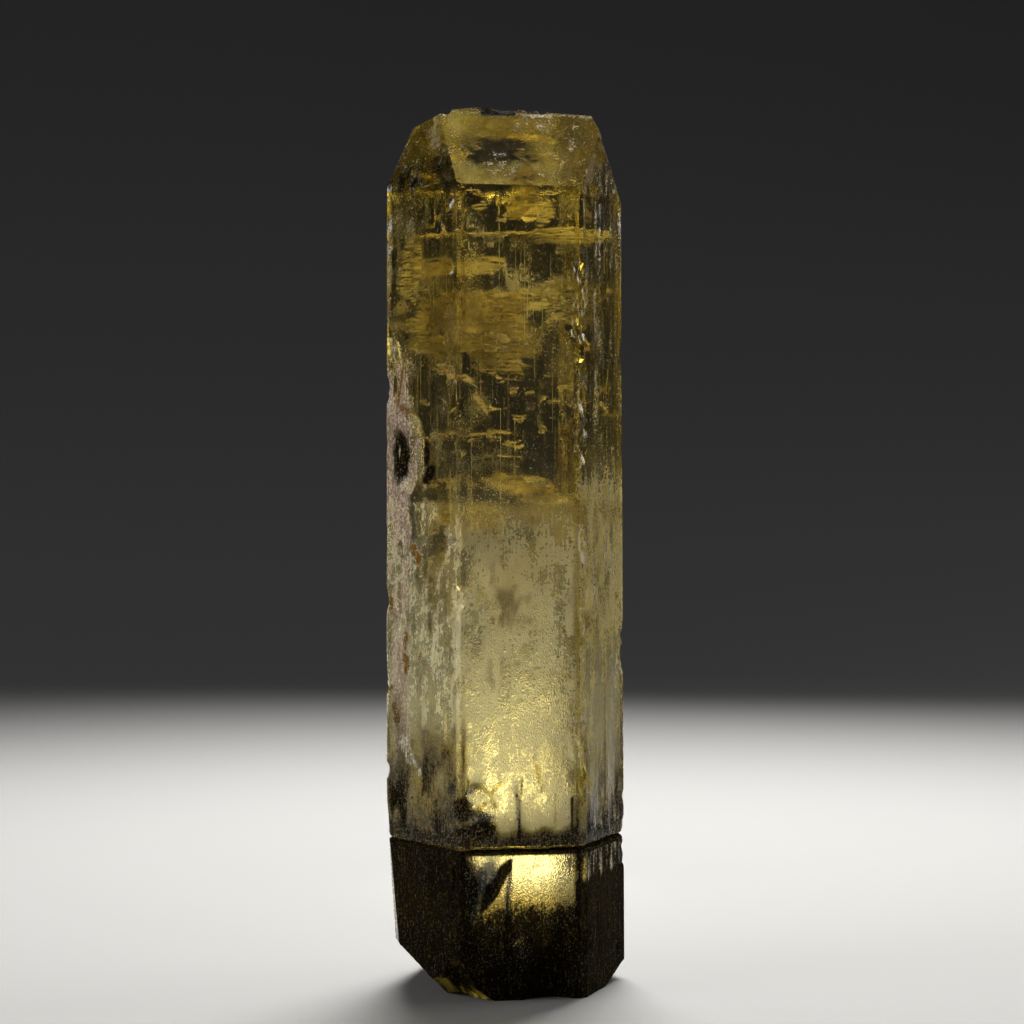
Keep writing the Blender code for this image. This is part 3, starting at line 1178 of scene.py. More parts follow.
    def film(self, at: Sites) -> Array:
        """Return how strongly a pale pink-brown film covers the left strip and the right edge.

        Args:
            at: the places.

        Returns:
            Array: the film at each place.
        """
        streaks = np.clip(0.66 + 0.8 * at.coarse + 0.9 * at.upright + 0.3 * at.speck, 0.0, 0.8)
        left_strip = at.left * at.strip * smooth_step(at.z, 51.0, 45.0) * at.above * streaks
        right_edge = smooth_step(at.right_across + 0.5 * at.coarse, 3.8, 4.5) * at.right
        right_edge = 0.65 * right_edge * smooth_step(at.z, 31.0, 25.0) * at.above
        return highest(left_strip, 0.85 * at.on_left(self.left_film), right_edge)

    def rust(self, at: Sites) -> Array:
        """Return how rusty the left strip and the crystal's crown are.

        Args:
            at: the places.

        Returns:
            Array: the rust at each place.
        """
        spots = smooth_step(at.blotch + 0.3 * at.coarse, 0.50, 0.62)
        return highest(
            (0.74 + 0.4 * at.speck) * at.on_left(self.left_rust),
            0.8 * at.left * at.strip * spots * at.low,
            at.crown * (0.72 + 0.5 * at.blotch),
        )

    def painted_glint(self, at: Sites) -> Array:
        """Return where glints are painted: bright grains along the low edges, and strokes on the left,
        as painted highlights.

        Args:
            at: the places.

        Returns:
            Array: the brightness at each place.
        """
        grains = smooth_step(at.speck + 0.3 * at.blotch, -0.1, 0.35)
        lit = 0.75 * at.edge * grains * at.low * smooth_step(at.z, 14.0, 18.0)
        return np.maximum(lit * at.above, 0.54 * at.on_left(self.left_painted_glints))

    def stain_and_shade(self, at: Sites) -> Array:
        """Return how dark the surface is, from stains and from painted shade.

        Formula: the dark ovals, the cracks and faint dark strokes, the band and the line at the
        fracture and the crown are set against painted shade, and the strongest one counts at each
        place. The painted shade is the shaded patches and the wedge low on the front, the foot
        below the fracture, which is painted shadow, and the soft gloom; the clear windows on the
        left are darkened a little. A pillar in the front face of the foot stays half clear.

        Args:
            at: the places.

        Returns:
            Array: the darkness at each place.
        """
        pillar = self.front_pillar.at(at.front_across, at.z, at.blotch)
        # painted shade that deepens down the front of the foot
        painted_foot_shade = smooth_step(at.z + 0.8 * at.blotch + 0.3 * at.speck, 10.3, 4.6) * (1.0 - 0.55 * pillar)
        # painted shadow over the bottom of the foot, on every side
        foot = smooth_step(at.z + at.coarse + 0.8 * at.blotch, 4.4, 2.6) * (1.0 - 0.5 * pillar)
        line = smooth_step(np.abs(at.z - 10.75), 0.45, 0.2) * (1.0 - at.back)
        notch = np.hypot((at.x + 0.3) / 1.5, (at.y + 2.6) / 2.2) + 0.6 * at.blotch
        return highest(
            0.9 * at.on_left(self.left_dark),
            0.34 * at.on_left(self.left_clear),
            at.on_front(self.front_dark),
            0.45 * at.on_front(self.front_faint),
            # painted shade: the shaded patches and the wedge low on the front
            0.80 * at.on_front(self.front_painted_shade),
            0.9 * at.on_front((self.front_painted_shadow_wedge,)),
            0.95 * at.front_foot * painted_foot_shade,
            # painted shadow on the side faces below the fracture
            at.left * at.under,
            at.right * at.under * share_of(0.80 + 0.5 * at.upright + smooth_step(at.z, 9.0, 7.0)),
            self.painted_gloom(at) * at.above * (1.0 - 0.5 * at.edge),
            foot,
            0.72 * at.band,
            0.95 * line,
            at.crown * (0.42 + 0.5 * at.blotch),
            smooth_step(at.z, 64.3, 64.7) * smooth_step(notch, 1.15, 0.7),
        )

    def painted_gloom(self, at: Sites) -> Array:
        """Return the soft painted shade of the side faces, the shoulder and the upper left face, and the
        darker clouds on the front, which differ at random.

        Args:
            at: the places.

        Returns:
            Array: the gloom at each place.
        """
        streaks = share_of(0.35 + 1.3 * at.coarse + 0.8 * at.upright)
        patches = streaks * smooth_step(at.z, 36.0, 28.0)
        clouds = 0.26 * patches + 0.30 * smooth_step(at.blotch + 0.6 * at.coarse, 0.28, 0.70)
        shoulder = smooth_step(at.z, 58.6, 59.6) * smooth_step(at.z, 64.4, 62.6)
        painted_gloom = 0.62 * at.side_shade + (0.34 * at.left + 0.26 * at.right) * patches
        painted_gloom = painted_gloom + at.front * clouds * smooth_step(at.z, 17.0, 21.0)
        painted_gloom = painted_gloom + 0.34 * shoulder * (0.8 + at.blotch)
        return painted_gloom + 0.44 * at.left * smooth_step(at.z, 44.0, 50.0) * (0.9 + 0.6 * at.blotch)

    def depth(self, at: Sites) -> Array:
        """Return how deep the beryl's colour looks, partly its own tone and partly painted shade.

        Formula: it deepens upwards in two steps, and on the right and low side faces, and
        noise shifts it; the band at the fracture, the ovals and the foot are deep. The deepening
        of the low side faces, of the right face below the fracture and of the front of the foot
        is painted shade.

        Args:
            at: the places.

        Returns:
            Array: the depth of colour at each place.
        """
        depth = 0.50 * smooth_step(at.z, 29.0, 42.0) + 0.46 * smooth_step(at.z, 57.5, 60.0)
        depth = depth + 0.35 * at.coarse + 0.4 * at.blotch * smooth_step(at.z, 56.0, 59.0)
        # painted shade: the side_shade term here and the right face below the fracture on the next line
        depth = depth + (at.right + 0.6 * at.golden) * (0.50 + 0.5 * at.upright) + 0.9 * at.side_shade
        depth = depth + 0.6 * at.right * at.under + 0.3 * at.left * smooth_step(at.z, 44.0, 50.0)
        return highest(
            depth,
            at.band,
            at.on_left(self.left_dark),
            # painted shade: the front of the foot deepens downwards
            at.front_foot * smooth_step(at.z, 9.5, 6.0),
            0.8 * at.on_front(self.front_faint),
        )


@dataclass(frozen=True)
class BerylFinish:
    """Clear golden beryl with etched, filmed and rusty patches, dark patches of stain and painted shade,
    and painted glints.
    """

    clear_tint: Colour = (0.97, 0.95, 0.82)
    deep_tint: Colour = (0.55, 0.435, 0.035)
    # the see-through body is tinted towards this where stains and painted shade lie
    stain_and_shade_tint: Colour = (0.13, 0.085, 0.010)
    film_colour: Colour = (0.60, 0.46, 0.345)
    film_shade: Colour = (0.40, 0.29, 0.21)
    frost_colour: Colour = (0.94, 0.86, 0.55)
    deep_frost: Colour = (0.36, 0.272, 0.022)
    # the colour of painted glints and sparkle
    painted_glint_colour: Colour = (0.95, 0.90, 0.66)
    rust_colour: Colour = (0.17, 0.080, 0.010)
    # the dark crust's colours, shared by stains and by painted shade and shadow
    dark_colour: Colour = (0.006, 0.004, 0.002)
    dark_shade: Colour = (0.13, 0.080, 0.070)
    olive_shade: Colour = (0.075, 0.052, 0.005)
    absorbed_colour: Colour = (0.86, 0.805, 0.50)
    density: float = 165.0

    def material(self) -> bpy.types.Material:
        """Return the crystal's material.

        Formula: a see-through shader with absorption inside is mixed with a dull crust. The
        share of crust is the greatest of the masks of frost, film, rust, stain with painted shade,
        and painted glints and sparkle, and each mask is a step of the mesh's own mark plus noise.
        The see-through shader is also tinted darker where the stains and the painted shade lie.

        Returns:
            bpy.types.Material: the material.
        """
        bench = Bench("golden_beryl")
        frost, depth = bench.attribute("frost"), bench.attribute("depth")
        granules = bench.grain((0.20, 0.20, 0.24), 1.0, 3.0)
        striae = bench.grain((0.11, 0.11, 1.3), 0.0)
        pits = bench.grain((0.11, 0.11, 0.14), 1.0, 9.0)
        rough = granules * 0.7 + striae * 0.3
        normal = bench.bump(pits * (frost * 1.5 + 0.08), 0.055)
        haze = (rough + frost * 0.55).step(0.52, 1.20)
        tint = bench.mixed(depth, self.clear_tint, self.deep_tint)
        stain_and_shade_level = bench.attribute("stain_and_shade")
        # the see-through body darkens where stains and painted shade lie
        clear = bench.shader({
            "Base Color": bench.mixed(stain_and_shade_level.step(0.05, 0.70), tint, self.stain_and_shade_tint),
            "Roughness": haze * 0.50 + 0.012,
            "IOR": BERYL_IOR,
            "Specular IOR Level": 0.22,
            "Transmission Weight": 1.0,
            "Normal": normal,
        })
        grit = rough * 0.8
        marks = ("film", "rust", "painted_glint")
        masks = {name: (bench.attribute(name) + grit).step(0.72, 1.12) for name in marks}
        masks["stain_and_shade"] = (stain_and_shade_level + grit).step(0.88, 1.22)
        fleck = rough.step(0.42, 0.66)
        # painted sparkle: tiny bright specks from fine noise, painted highlights
        painted_sparkle = (pits + frost * 0.10).step(0.66, 0.76)
        coat = bench.mixed((depth * 1.7).step(0.0, 1.0), self.frost_colour, self.deep_frost)
        coat = bench.mixed(masks["film"], coat, bench.mixed(fleck, self.film_shade, self.film_colour))
        coat = bench.mixed(masks["rust"], coat, self.rust_colour)
        # the dark crust, one colour for stains and for painted shade
        shade = bench.mixed(depth, self.dark_shade, self.olive_shade)
        stain_and_shade_coat = bench.mixed(rough.step(0.54, 0.74), self.dark_colour, shade)
        coat = bench.mixed(stain_and_shade_level.step(0.10, 0.75), coat, stain_and_shade_coat)
        # painted shine: the painted glints and sparkle, laid on as pale crust
        painted_shine = masks["painted_glint"].highest(painted_sparkle * (stain_and_shade_level * -0.94 + 1.0))
        coat = bench.mixed(painted_shine, coat, self.painted_glint_colour)
        crust = bench.shader({
            "Base Color": coat,
            "Roughness": masks["stain_and_shade"] * 0.35 + 0.55,
            "Specular IOR Level": 0.0,
            "Normal": normal,
        })
        grains = haze * (fleck * 0.33 + 0.24)
        cover = grains.highest(masks["film"] * (fleck * 0.35 + 0.55)).highest(masks["rust"] * 0.95)
        cover = cover.highest(masks["stain_and_shade"] * 0.98).highest(painted_shine * 0.8)
        mix = bench.node("ShaderNodeMixShader", {}, {0: cover, 1: clear, 2: crust})
        inside = {"Color": (*self.absorbed_colour, 1.0), "Density": self.density}
        volume = bench.node("ShaderNodeVolumeAbsorption", {}, inside)
        return bench.surface(mix, volume)


class Tone(Enum):
    """The looks of what lies inside the crystal."""

    CREAM = "cream"
    GOLD = "gold"
    AMBER = "amber"
    OLIVE = "olive"
    UMBER = "umber"


@dataclass(frozen=True)
class LeafFinish:
    """A thin sheet inside the crystal: streaks of matter with clear gaps between them."""

    pale: Colour
    deep: Colour
    streak: tuple[float, float, float]
    gaps: float
    cover: float
    clarity: float = 0.0

    def material(self, name: str) -> bpy.types.Material:
        """Return the material.

        Args:
            name: the material's name.

        Returns:
            bpy.types.Material: the material.
        """
        bench = Bench(name)
        streaks = bench.grain(self.streak, 2.0, 2.0)
        inner = bench.attribute("inner").step(0.0, 0.35)
        pattern = streaks.step(self.gaps - 0.08, self.gaps + 0.12)
        paleness = streaks.step(self.gaps - 0.02, self.gaps + 0.16)
        shader = bench.shader({
            "Base Color": bench.mixed(paleness, self.deep, self.pale),
            "Roughness": 0.85,
            "IOR": 1.25,
            "Transmission Weight": self.clarity,
            "Alpha": inner * pattern * self.cover,
        })
        return bench.surface(shader)


LEAF_FINISHES = {
    Tone.CREAM: LeafFinish((1.0, 0.92, 0.58), (0.90, 0.74, 0.32), (1.3, 1.3, 0.20), 0.47, 0.92, 0.40),
    Tone.GOLD: LeafFinish((1.0, 0.88, 0.46), (0.80, 0.62, 0.18), (1.9, 1.9, 0.24), 0.43, 0.80, 0.45),
    Tone.AMBER: LeafFinish((1.0, 0.90, 0.66), (0.92, 0.55, 0.18), (0.7, 0.7, 0.40), 0.36, 1.0, 0.2),
    Tone.OLIVE: LeafFinish((0.16, 0.13, 0.02), (0.04, 0.03, 0.005), (0.9, 0.9, 0.25), 0.30, 0.97),
    Tone.UMBER: LeafFinish((0.05, 0.025, 0.010), (0.012, 0.006, 0.004), (0.8, 0.8, 1.6), 0.26, 0.97),
}


@dataclass(frozen=True)
class GrainFinish:
    """Small solid grains or tube walls, paler and darker from place to place."""

    colour: Colour

    def material(self, name: str) -> bpy.types.Material:
        """Return the material.

        Args:
            name: the material's name.

        Returns:
            bpy.types.Material: the material.
        """
        bench = Bench(name)
        patches = bench.grain((0.8, 0.8, 1.2), 2.0)
        dim = tuple(0.55 * value for value in self.colour)
        colour = bench.mixed(patches.step(0.4, 0.6), dim, self.colour)
        shader = {"Base Color": colour, "Roughness": patches * 0.4 + 0.1, "IOR": 1.45}
        return bench.surface(bench.shader(shader))


@dataclass(frozen=True)
class Leaf:
    """A thin cupped sheet inside the crystal: its middle, half sizes, and how it stands."""

    middle: tuple[float, float, float]
    half_width: float
    half_height: float
    azimuth: float = 0.0
    tilt: float = 0.0
    turn: float = 0.0
    cup: float = 0.0
    ragged: float = 0.25
    thickness: float = 0.03
    cover: float = 0.55

    def shape(self, noise: Noise, form: CrystalForm, rings: int = 9, spokes: int = 36) -> Shape:
        """Return the sheet as a closed lens.

        Formula: a point at share r and angle t lies at r R(t) (w cos t, h sin t) in the
        sheet's plane, where R is noise about 1, and stands out by cup (1 - r^2) and noise.
        The rows run from the middle of one side over the rim to the middle of the other,
        half the thickness, times sqrt(1 - r^4), to each side.

        Args:
            noise: the random field of the rim and the waves.
            form: the crystal, in which the sheet is kept.
            rings: rows from the middle to the rim.
            spokes: points round each row.

        Returns:
            Shape: the sheet, with how far inside its rim each point lies.
        """
        row = np.arange(2 * rings + 1)[:, None] / rings
        share = 1.0 - np.abs(1.0 - row)
        turn = np.arange(spokes)[None, :] / spokes * 2.0 * math.pi
        seed = 3.1 * self.middle[0] + 1.7 * self.middle[2]
        bent = noise.layered(2.2 * np.cos(turn), 2.2 * np.sin(turn), np.full_like(turn, seed), 3)
        rim = 1.0 + self.ragged * bent
        across = share * rim * self.half_width * np.cos(turn)
        along = share * rim * self.half_height * np.sin(turn)
        wave = 0.22 * noise.layered(across / 1.5, along / 1.5, np.full_like(across, seed), 2)
        half = 0.5 * self.thickness * np.sqrt(np.maximum(1.0 - share**4, 0.0)) * np.sign(1.0 - row)
        out = self.cup * (1.0 - share**2) + wave + half
        lean, spin = math.radians(self.tilt), math.radians(self.turn)
        face = outward(self.azimuth) * math.cos(lean) + np.array([0.0, 0.0, math.sin(lean)])
        right = sideways(self.azimuth)
        rise = np.cross(face, right)
        first = right * math.cos(spin) + rise * math.sin(spin)
        second = rise * math.cos(spin) - right * math.sin(spin)
        points = np.array(self.middle) + (
            across[..., None] * first + along[..., None] * second + out[..., None] * face
        )
        points = form.kept_inside(points.reshape(-1, 3), self.cover)
        inner = np.broadcast_to(1.0 - share, across.shape).ravel()
        return Shape(points, grid_faces(2 * rings + 1, spokes, closed=True), {"inner": inner})


@dataclass(frozen=True)
class Cloud:
    """Veils at random places in a box: their number, the box, their size and range of tilt."""

    count: int
    middle: tuple[float, float, float]
    reach: tuple[float, float, float]
    size: float
    tilt: tuple[float, float]

    def leaves(self, rng: np.random.Generator) -> list[Leaf]:
        """Return the veils, drawn one after another.

        Args:
            rng: the random draw.

        Returns:
            list[Leaf]: the veils.
        """
        leaves = []
        for _ in range(self.count):
            place = tuple(m + r * rng.uniform(-1.0, 1.0) for m, r in zip(self.middle, self.reach))
            half = self.size * rng.uniform(0.35, 1.0)
            lean = rng.uniform(*self.tilt) * rng.choice([-1.0, 1.0])
            height = half * rng.uniform(0.5, 1.0)
            azimuth = rng.uniform(-60.0, 60.0)
            turn = rng.uniform(-25.0, 25.0)
            cup = rng.uniform(-0.8, 0.8)
            leaves.append(Leaf(place, half, height, azimuth, lean, turn, cup, 0.45))
        return leaves


CLOUDS = {
    Tone.CREAM: (
        Cloud(10, (-1.8, 0.5, 48.8), (3.4, 3.0, 2.8), 2.6, (55.0, 85.0)),
        Cloud(8, (4.4, 0.0, 47.0), (2.0, 4.0, 5.0), 1.8, (60.0, 88.0)),
        Cloud(6, (-4.8, 0.0, 50.0), (1.5, 3.0, 5.0), 2.0, (40.0, 80.0)),
        Cloud(8, (0.0, 0.0, 41.0), (5.0, 4.5, 2.8), 1.3, (65.0, 88.0)),
        Cloud(9, (0.0, 0.0, 35.5), (5.0, 4.5, 2.8), 2.6, (60.0, 88.0)),
        Cloud(9, (0.5, -0.5, 60.8), (4.0, 2.5, 2.6), 2.2, (30.0, 80.0)),
        # these three clouds of small flakes stand in for glints, as painted highlights
        Cloud(16, (1.0, -3.0, 43.4), (3.2, 2.5, 3.0), 0.42, (0.0, 70.0)),
        Cloud(12, (0.5, -3.0, 56.8), (4.5, 2.5, 1.8), 0.40, (0.0, 70.0)),
        Cloud(10, (0.0, -4.0, 50.5), (4.5, 2.0, 3.2), 0.45, (0.0, 70.0)),
    ),
    Tone.GOLD: (
        Cloud(9, (-1.8, 0.5, 48.8), (3.6, 3.5, 3.2), 3.0, (45.0, 85.0)),
        Cloud(6, (1.0, 0.5, 34.6), (5.0, 4.0, 3.0), 3.4, (55.0, 88.0)),
        Cloud(5, (0.5, 0.0, 60.5), (4.5, 2.5, 2.6), 2.6, (30.0, 80.0)),
    ),
}


@dataclass
class Inclusions:
    """What lies inside the crystal: healed veils, cracks, the transverse fracture, tubes, specks, and
    sheets that stand in for glints and for shadow.
    """

    form: CrystalForm
    tube_count: int = 60
    tube_cover: float = 0.5
    tube_finish: GrainFinish = GrainFinish((0.92, 0.86, 0.55))
    speck_layers: tuple[tuple[int, float, float], ...] = ((1500, 12.5, 34.0), (500, 34.0, 58.0))
    speck_cover: float = 0.4
    speck_finish: GrainFinish = GrainFinish((0.97, 0.93, 0.70))

    def __post_init__(self) -> None:
        """Start the random field and draw."""
        self.noise = Noise(SEED + 5)
        self.rng = np.random.default_rng(SEED + 6)

    def leaves(self) -> dict[Tone, list[Leaf]]:
        """Return the sheets of each tone.

        Returns:
            dict[Tone, list[Leaf]]: veils, flakes that stand in for glints, stains, cracks and a sheet of
                painted shadow.
        """
        cream = [
            Leaf((0.4, 0.0, 55.6), 7.4, 6.6, 0.0, 86.0, cup=0.35),
            Leaf((4.4, -1.0, 55.3), 4.0, 5.0, 0.0, 80.0, cup=0.9),
            Leaf((4.0, -2.6, 51.6), 2.6, 3.0, 10.0, 66.0, cup=-0.8),
            Leaf((5.0, -3.4, 50.9), 2.2, 2.5, 10.0, 64.0, cup=-0.6),
            Leaf((-6.2, -2.4, 53.0), 1.6, 3.2, 320.0, 20.0, cup=0.5),
            Leaf((-2.0, -3.6, 57.6), 0.62, 0.62, 0.0, 50.0, ragged=0.5, thickness=0.2),
            Leaf((2.9, -3.4, 57.1), 0.85, 1.5, 5.0, 45.0, turn=-20.0, ragged=0.6, thickness=0.1),
            Leaf((2.0, -4.5, 60.9), 1.5, 0.9, 9.0, 50.0, turn=-15.0, ragged=0.5),
            # a pale sheet that stands in for a glint on the left, a painted highlight
            Leaf((-6.6, -3.6, 17.5), 0.9, 1.9, 320.0, 10.0, turn=25.0, ragged=0.4),
            Leaf((-2.0, -1.0, 40.9), 2.2, 0.55, 5.0, 15.0, turn=4.0, ragged=0.5),
            Leaf((-1.3, 0.0, 37.3), 3.0, 0.45, 5.0, 15.0, turn=-3.0, ragged=0.5),
            Leaf((0.2, 1.5, 30.2), 4.6, 3.4, 9.0, 12.0, cup=0.6, ragged=0.4),
        ]
        gold = [
            Leaf((-2.6, 1.0, 53.5), 2.8, 1.0, 0.0, 20.0, turn=6.0, cup=0.5, thickness=0.05),
            Leaf((-2.0, 1.5, 48.9), 3.4, 2.6, 0.0, 12.0, cup=0.8),
            Leaf((0.4, 2.5, 51.0), 3.6, 1.2, 0.0, 10.0, turn=5.0, cup=0.6),
            Leaf((3.6, 2.0, 34.6), 2.9, 2.4, 10.0, 15.0, cup=0.6),
            Leaf((0.5, 3.5, 62.0), 4.2, 2.0, 9.0, 25.0, cup=0.4),
            Leaf((0.2, 3.0, 31.0), 3.8, 1.5, 10.0, 10.0, cup=0.4),
        ]
        # pale orange sheets that stand in for glints, painted highlights
        amber = [
            Leaf((-3.1, -6.3, 44.9), 0.34, 1.50, 9.0, 30.0, 50.0, cup=0.1, ragged=0.6, thickness=0.1),
            Leaf((-1.8, -6.2, 43.2), 0.26, 1.25, 9.0, 30.0, 25.0, cup=0.1, ragged=0.6, thickness=0.1),
            Leaf((3.9, -5.2, 49.6), 0.75, 0.26, 9.0, 40.0, turn=8.0, ragged=0.6, thickness=0.06),
        ]
        level = self.form.fracture
        olive = [
            Leaf((-0.6, -0.4, 60.3), 3.6, 1.5, 9.0, 14.0, turn=-4.0, cup=0.3, ragged=0.55),
            Leaf((0.1, 0.1, level), 8.2, 7.8, 0.0, 89.0, cup=0.05, ragged=0.03, thickness=0.05),
            Leaf((0.1, 0.1, level + 0.7), 7.9, 7.2, 3.0, 86.0, cup=0.2, ragged=0.2, thickness=0.05),
        ]
        umber = [
            Leaf((0.9, -5.4, 13.5), 1.2, 2.4, 84.0, 3.0, cup=0.1, ragged=0.4),
            Leaf((4.9, -4.6, 13.0), 0.8, 1.6, 80.0, 2.0, cup=0.1, ragged=0.4),
            Leaf((6.0, -3.6, 13.6), 0.7, 1.9, 75.0, 0.0, cup=0.1, ragged=0.4),
            Leaf((0.1, -5.2, 6.6), 1.2, 3.8, 82.0, -2.0, cup=0.1, ragged=0.4),
            # painted shadow: a dark sheet for the wedge of shade in the foot
            Leaf((-1.9, -4.5, 7.6), 1.1, 3.2, 350.0, -12.0, turn=-32.0, cup=0.8, ragged=0.3),
            Leaf((-3.4, -2.0, 8.6), 1.5, 2.2, 330.0, 5.0, cup=0.4, ragged=0.5),
            Leaf((-2.4, -4.4, 15.0), 1.1, 0.35, 0.0, 10.0, turn=20.0, ragged=0.7),
            Leaf((-2.0, -4.6, 12.9), 1.4, 0.8, 0.0, 20.0, turn=-15.0, ragged=0.7),
            Leaf((-3.0, -3.8, 14.0), 0.9, 0.35, 0.0, 20.0, turn=-40.0, ragged=0.7),
        ]
        sheets = dict(zip(Tone, (cream, gold, amber, olive, umber)))
        for tone, clouds in CLOUDS.items():
            for cloud in clouds:
                sheets[tone] += cloud.leaves(self.rng)
        return sheets

    def tubes(self) -> Shape:
        """Return growth tubes: thin six-sided needles parallel to the crystal's axis.

        Formula: each needle has four rows of six points, of radius 0, r, r and 0.

        Returns:
            Shape: all the needles.
        """
        rng = self.rng
        turn = np.arange(6) * math.pi / 3.0
        shapes = []
        for _ in range(self.tube_count):
            spread, bearing = 7.2 * math.sqrt(rng.uniform(0.25, 1.0)), rng.uniform(0.0, 2.0 * math.pi)
            radius, length = rng.uniform(0.015, 0.04), rng.uniform(1.5, 8.0)
            low = rng.uniform(32.0, 57.0 - length)
            rows = np.array([0.0, radius, radius, 0.0])[:, None]
            x = spread * math.cos(bearing) + rows * np.cos(turn)
            y = spread * math.sin(bearing) + rows * np.sin(turn)
            z = np.broadcast_to(low + np.array([0.0, 0.2, length - 0.2, length])[:, None], x.shape)
            points = self.form.kept_inside(np.stack([x, y, z], axis=-1).reshape(-1, 3), self.tube_cover)
            shapes.append(Shape(points, grid_faces(4, 6, closed=True)))
        return joined(shapes)

    def specks(self, count: int, low: float, high: float) -> Shape:
        """Return a cloud of tiny eight-sided grains near the crystal's surface.

        Formula: each grain is an octahedron with its six points on the axes, at random
        half sizes, and lies at a random depth behind a random prism face.

        Args:
            count: how many there are.
            low: the lowest height.
            high: the highest height.

        Returns:
            Shape: all the grains.
        """
        rng = self.rng
        azimuth = np.radians(rng.choice(self.form.prism, count))
        away = self.form.face_width * math.sqrt(3.0) / 2.0 - 0.5 - rng.exponential(1.4, count)
        across = rng.uniform(-3.9, 3.9, count)
        middle = np.stack([
            np.sin(azimuth) * away + np.cos(azimuth) * across,
            -np.cos(azimuth) * away + np.sin(azimuth) * across,
            rng.uniform(low, high, count),
        ], axis=-1)
        axes = np.concatenate([np.eye(3), -np.eye(3)])
        sizes = rng.uniform(0.02, 0.075, (count, 1, 3)) * np.array([1.0, 1.0, 1.5])
        points = (middle[:, None, :] + axes[None] * sizes).reshape(-1, 3)
        faces = np.array([
            [0, 1, 2], [1, 3, 2], [3, 4, 2], [4, 0, 2], [1, 0, 5], [3, 1, 5], [4, 3, 5], [0, 4, 5],
        ])
        faces = (faces[None] + 6 * np.arange(count)[:, None, None]).reshape(-1, 3)
        return Shape(self.form.kept_inside(points, self.speck_cover), faces)

    def build(self) -> list[bpy.types.Object]:
        """Make the pieces and dress them.

        Returns:
            list[bpy.types.Object]: the five kinds of sheet, the tubes and the specks.
        """
        pieces = []
        names = {
            Tone.CREAM: "healed_veils_and_painted_glints",
            Tone.GOLD: "golden_veils",
            Tone.AMBER: "painted_glint_flakes",
            Tone.OLIVE: "transverse_fracture",
            Tone.UMBER: "cracks_and_painted_shadow_sheet",
        }
        for tone, leaves in self.leaves().items():
            shapes = [leaf.shape(self.noise, self.form) for leaf in leaves]
            whole = joined(shapes)
            whole.values = {"inner": np.concatenate([shape.values["inner"] for shape in shapes])}
            item = whole.piece(names[tone], crease=80.0)
            item.data.materials.append(LEAF_FINISHES[tone].material(f"{tone.value}_sheet"))
            pieces.append(item)
        needles = self.tubes().piece("growth_tubes")
        needles.data.materials.append(self.tube_finish.material("tube_walls"))
        dust = joined([self.specks(*layer) for layer in self.speck_layers]).piece("fine_specks")
        dust.data.materials.append(self.speck_finish.material("speck_faces"))
        return pieces + [needles, dust]


@dataclass(frozen=True)
class Lamp:
    """A square soft light: its place, side and power, and how it shines and is seen.

    A level lamp shines straight towards the front, and any other one faces the crystal's middle.
    """

    AIM = (0.0, 0.0, 30.0)

    name: str
    place: tuple[float, float, float]
    size: float
    power: float
    spread: float = 180.0
    colour: Colour = (1.0, 1.0, 1.0)
    level: bool = False
    seen: bool = True
    mirrored: bool = True

    def build(self) -> bpy.types.Object:
        """Add the light.

        Returns:
            bpy.types.Object: the light.
        """
        data = bpy.data.lights.new(self.name, "AREA")
        data.size = self.size * MM
        data.energy = self.power
        data.spread = math.radians(self.spread)
        data.color = self.colour
        item = bpy.data.objects.new(self.name, data)
        item.location = [value * MM for value in self.place]
        aim = outward(0.0)
        if not self.level:
            aim = np.array(self.AIM) - np.array(self.place)
        pitch = math.acos(-aim[2] / np.linalg.norm(aim))
        item.rotation_euler = (pitch, 0.0, math.atan2(aim[1], aim[0]) - math.pi / 2.0)
        item.visible_camera = self.seen
        item.visible_glossy = self.mirrored
        bpy.context.scene.collection.objects.link(item)
        return item


WARM = (1.0, 0.95, 0.80)
LAMPS = (
    Lamp("key_left", (-340.0, -110.0, 230.0), 220.0, 0.80),
    Lamp("fill_right", (330.0, 110.0, 200.0), 200.0, 0.55),
    Lamp("back", (40.0, 240.0, 260.0), 220.0, 1.9, 84.0, mirrored=False),
    Lamp("low_glow", (1.2, 52.0, 5.0), 9.0, 0.0009, colour=WARM, level=True, seen=False),
    Lamp("low_glow_wide", (0.8, 53.0, 9.5), 19.0, 0.0012, colour=WARM, level=True, seen=False),
)


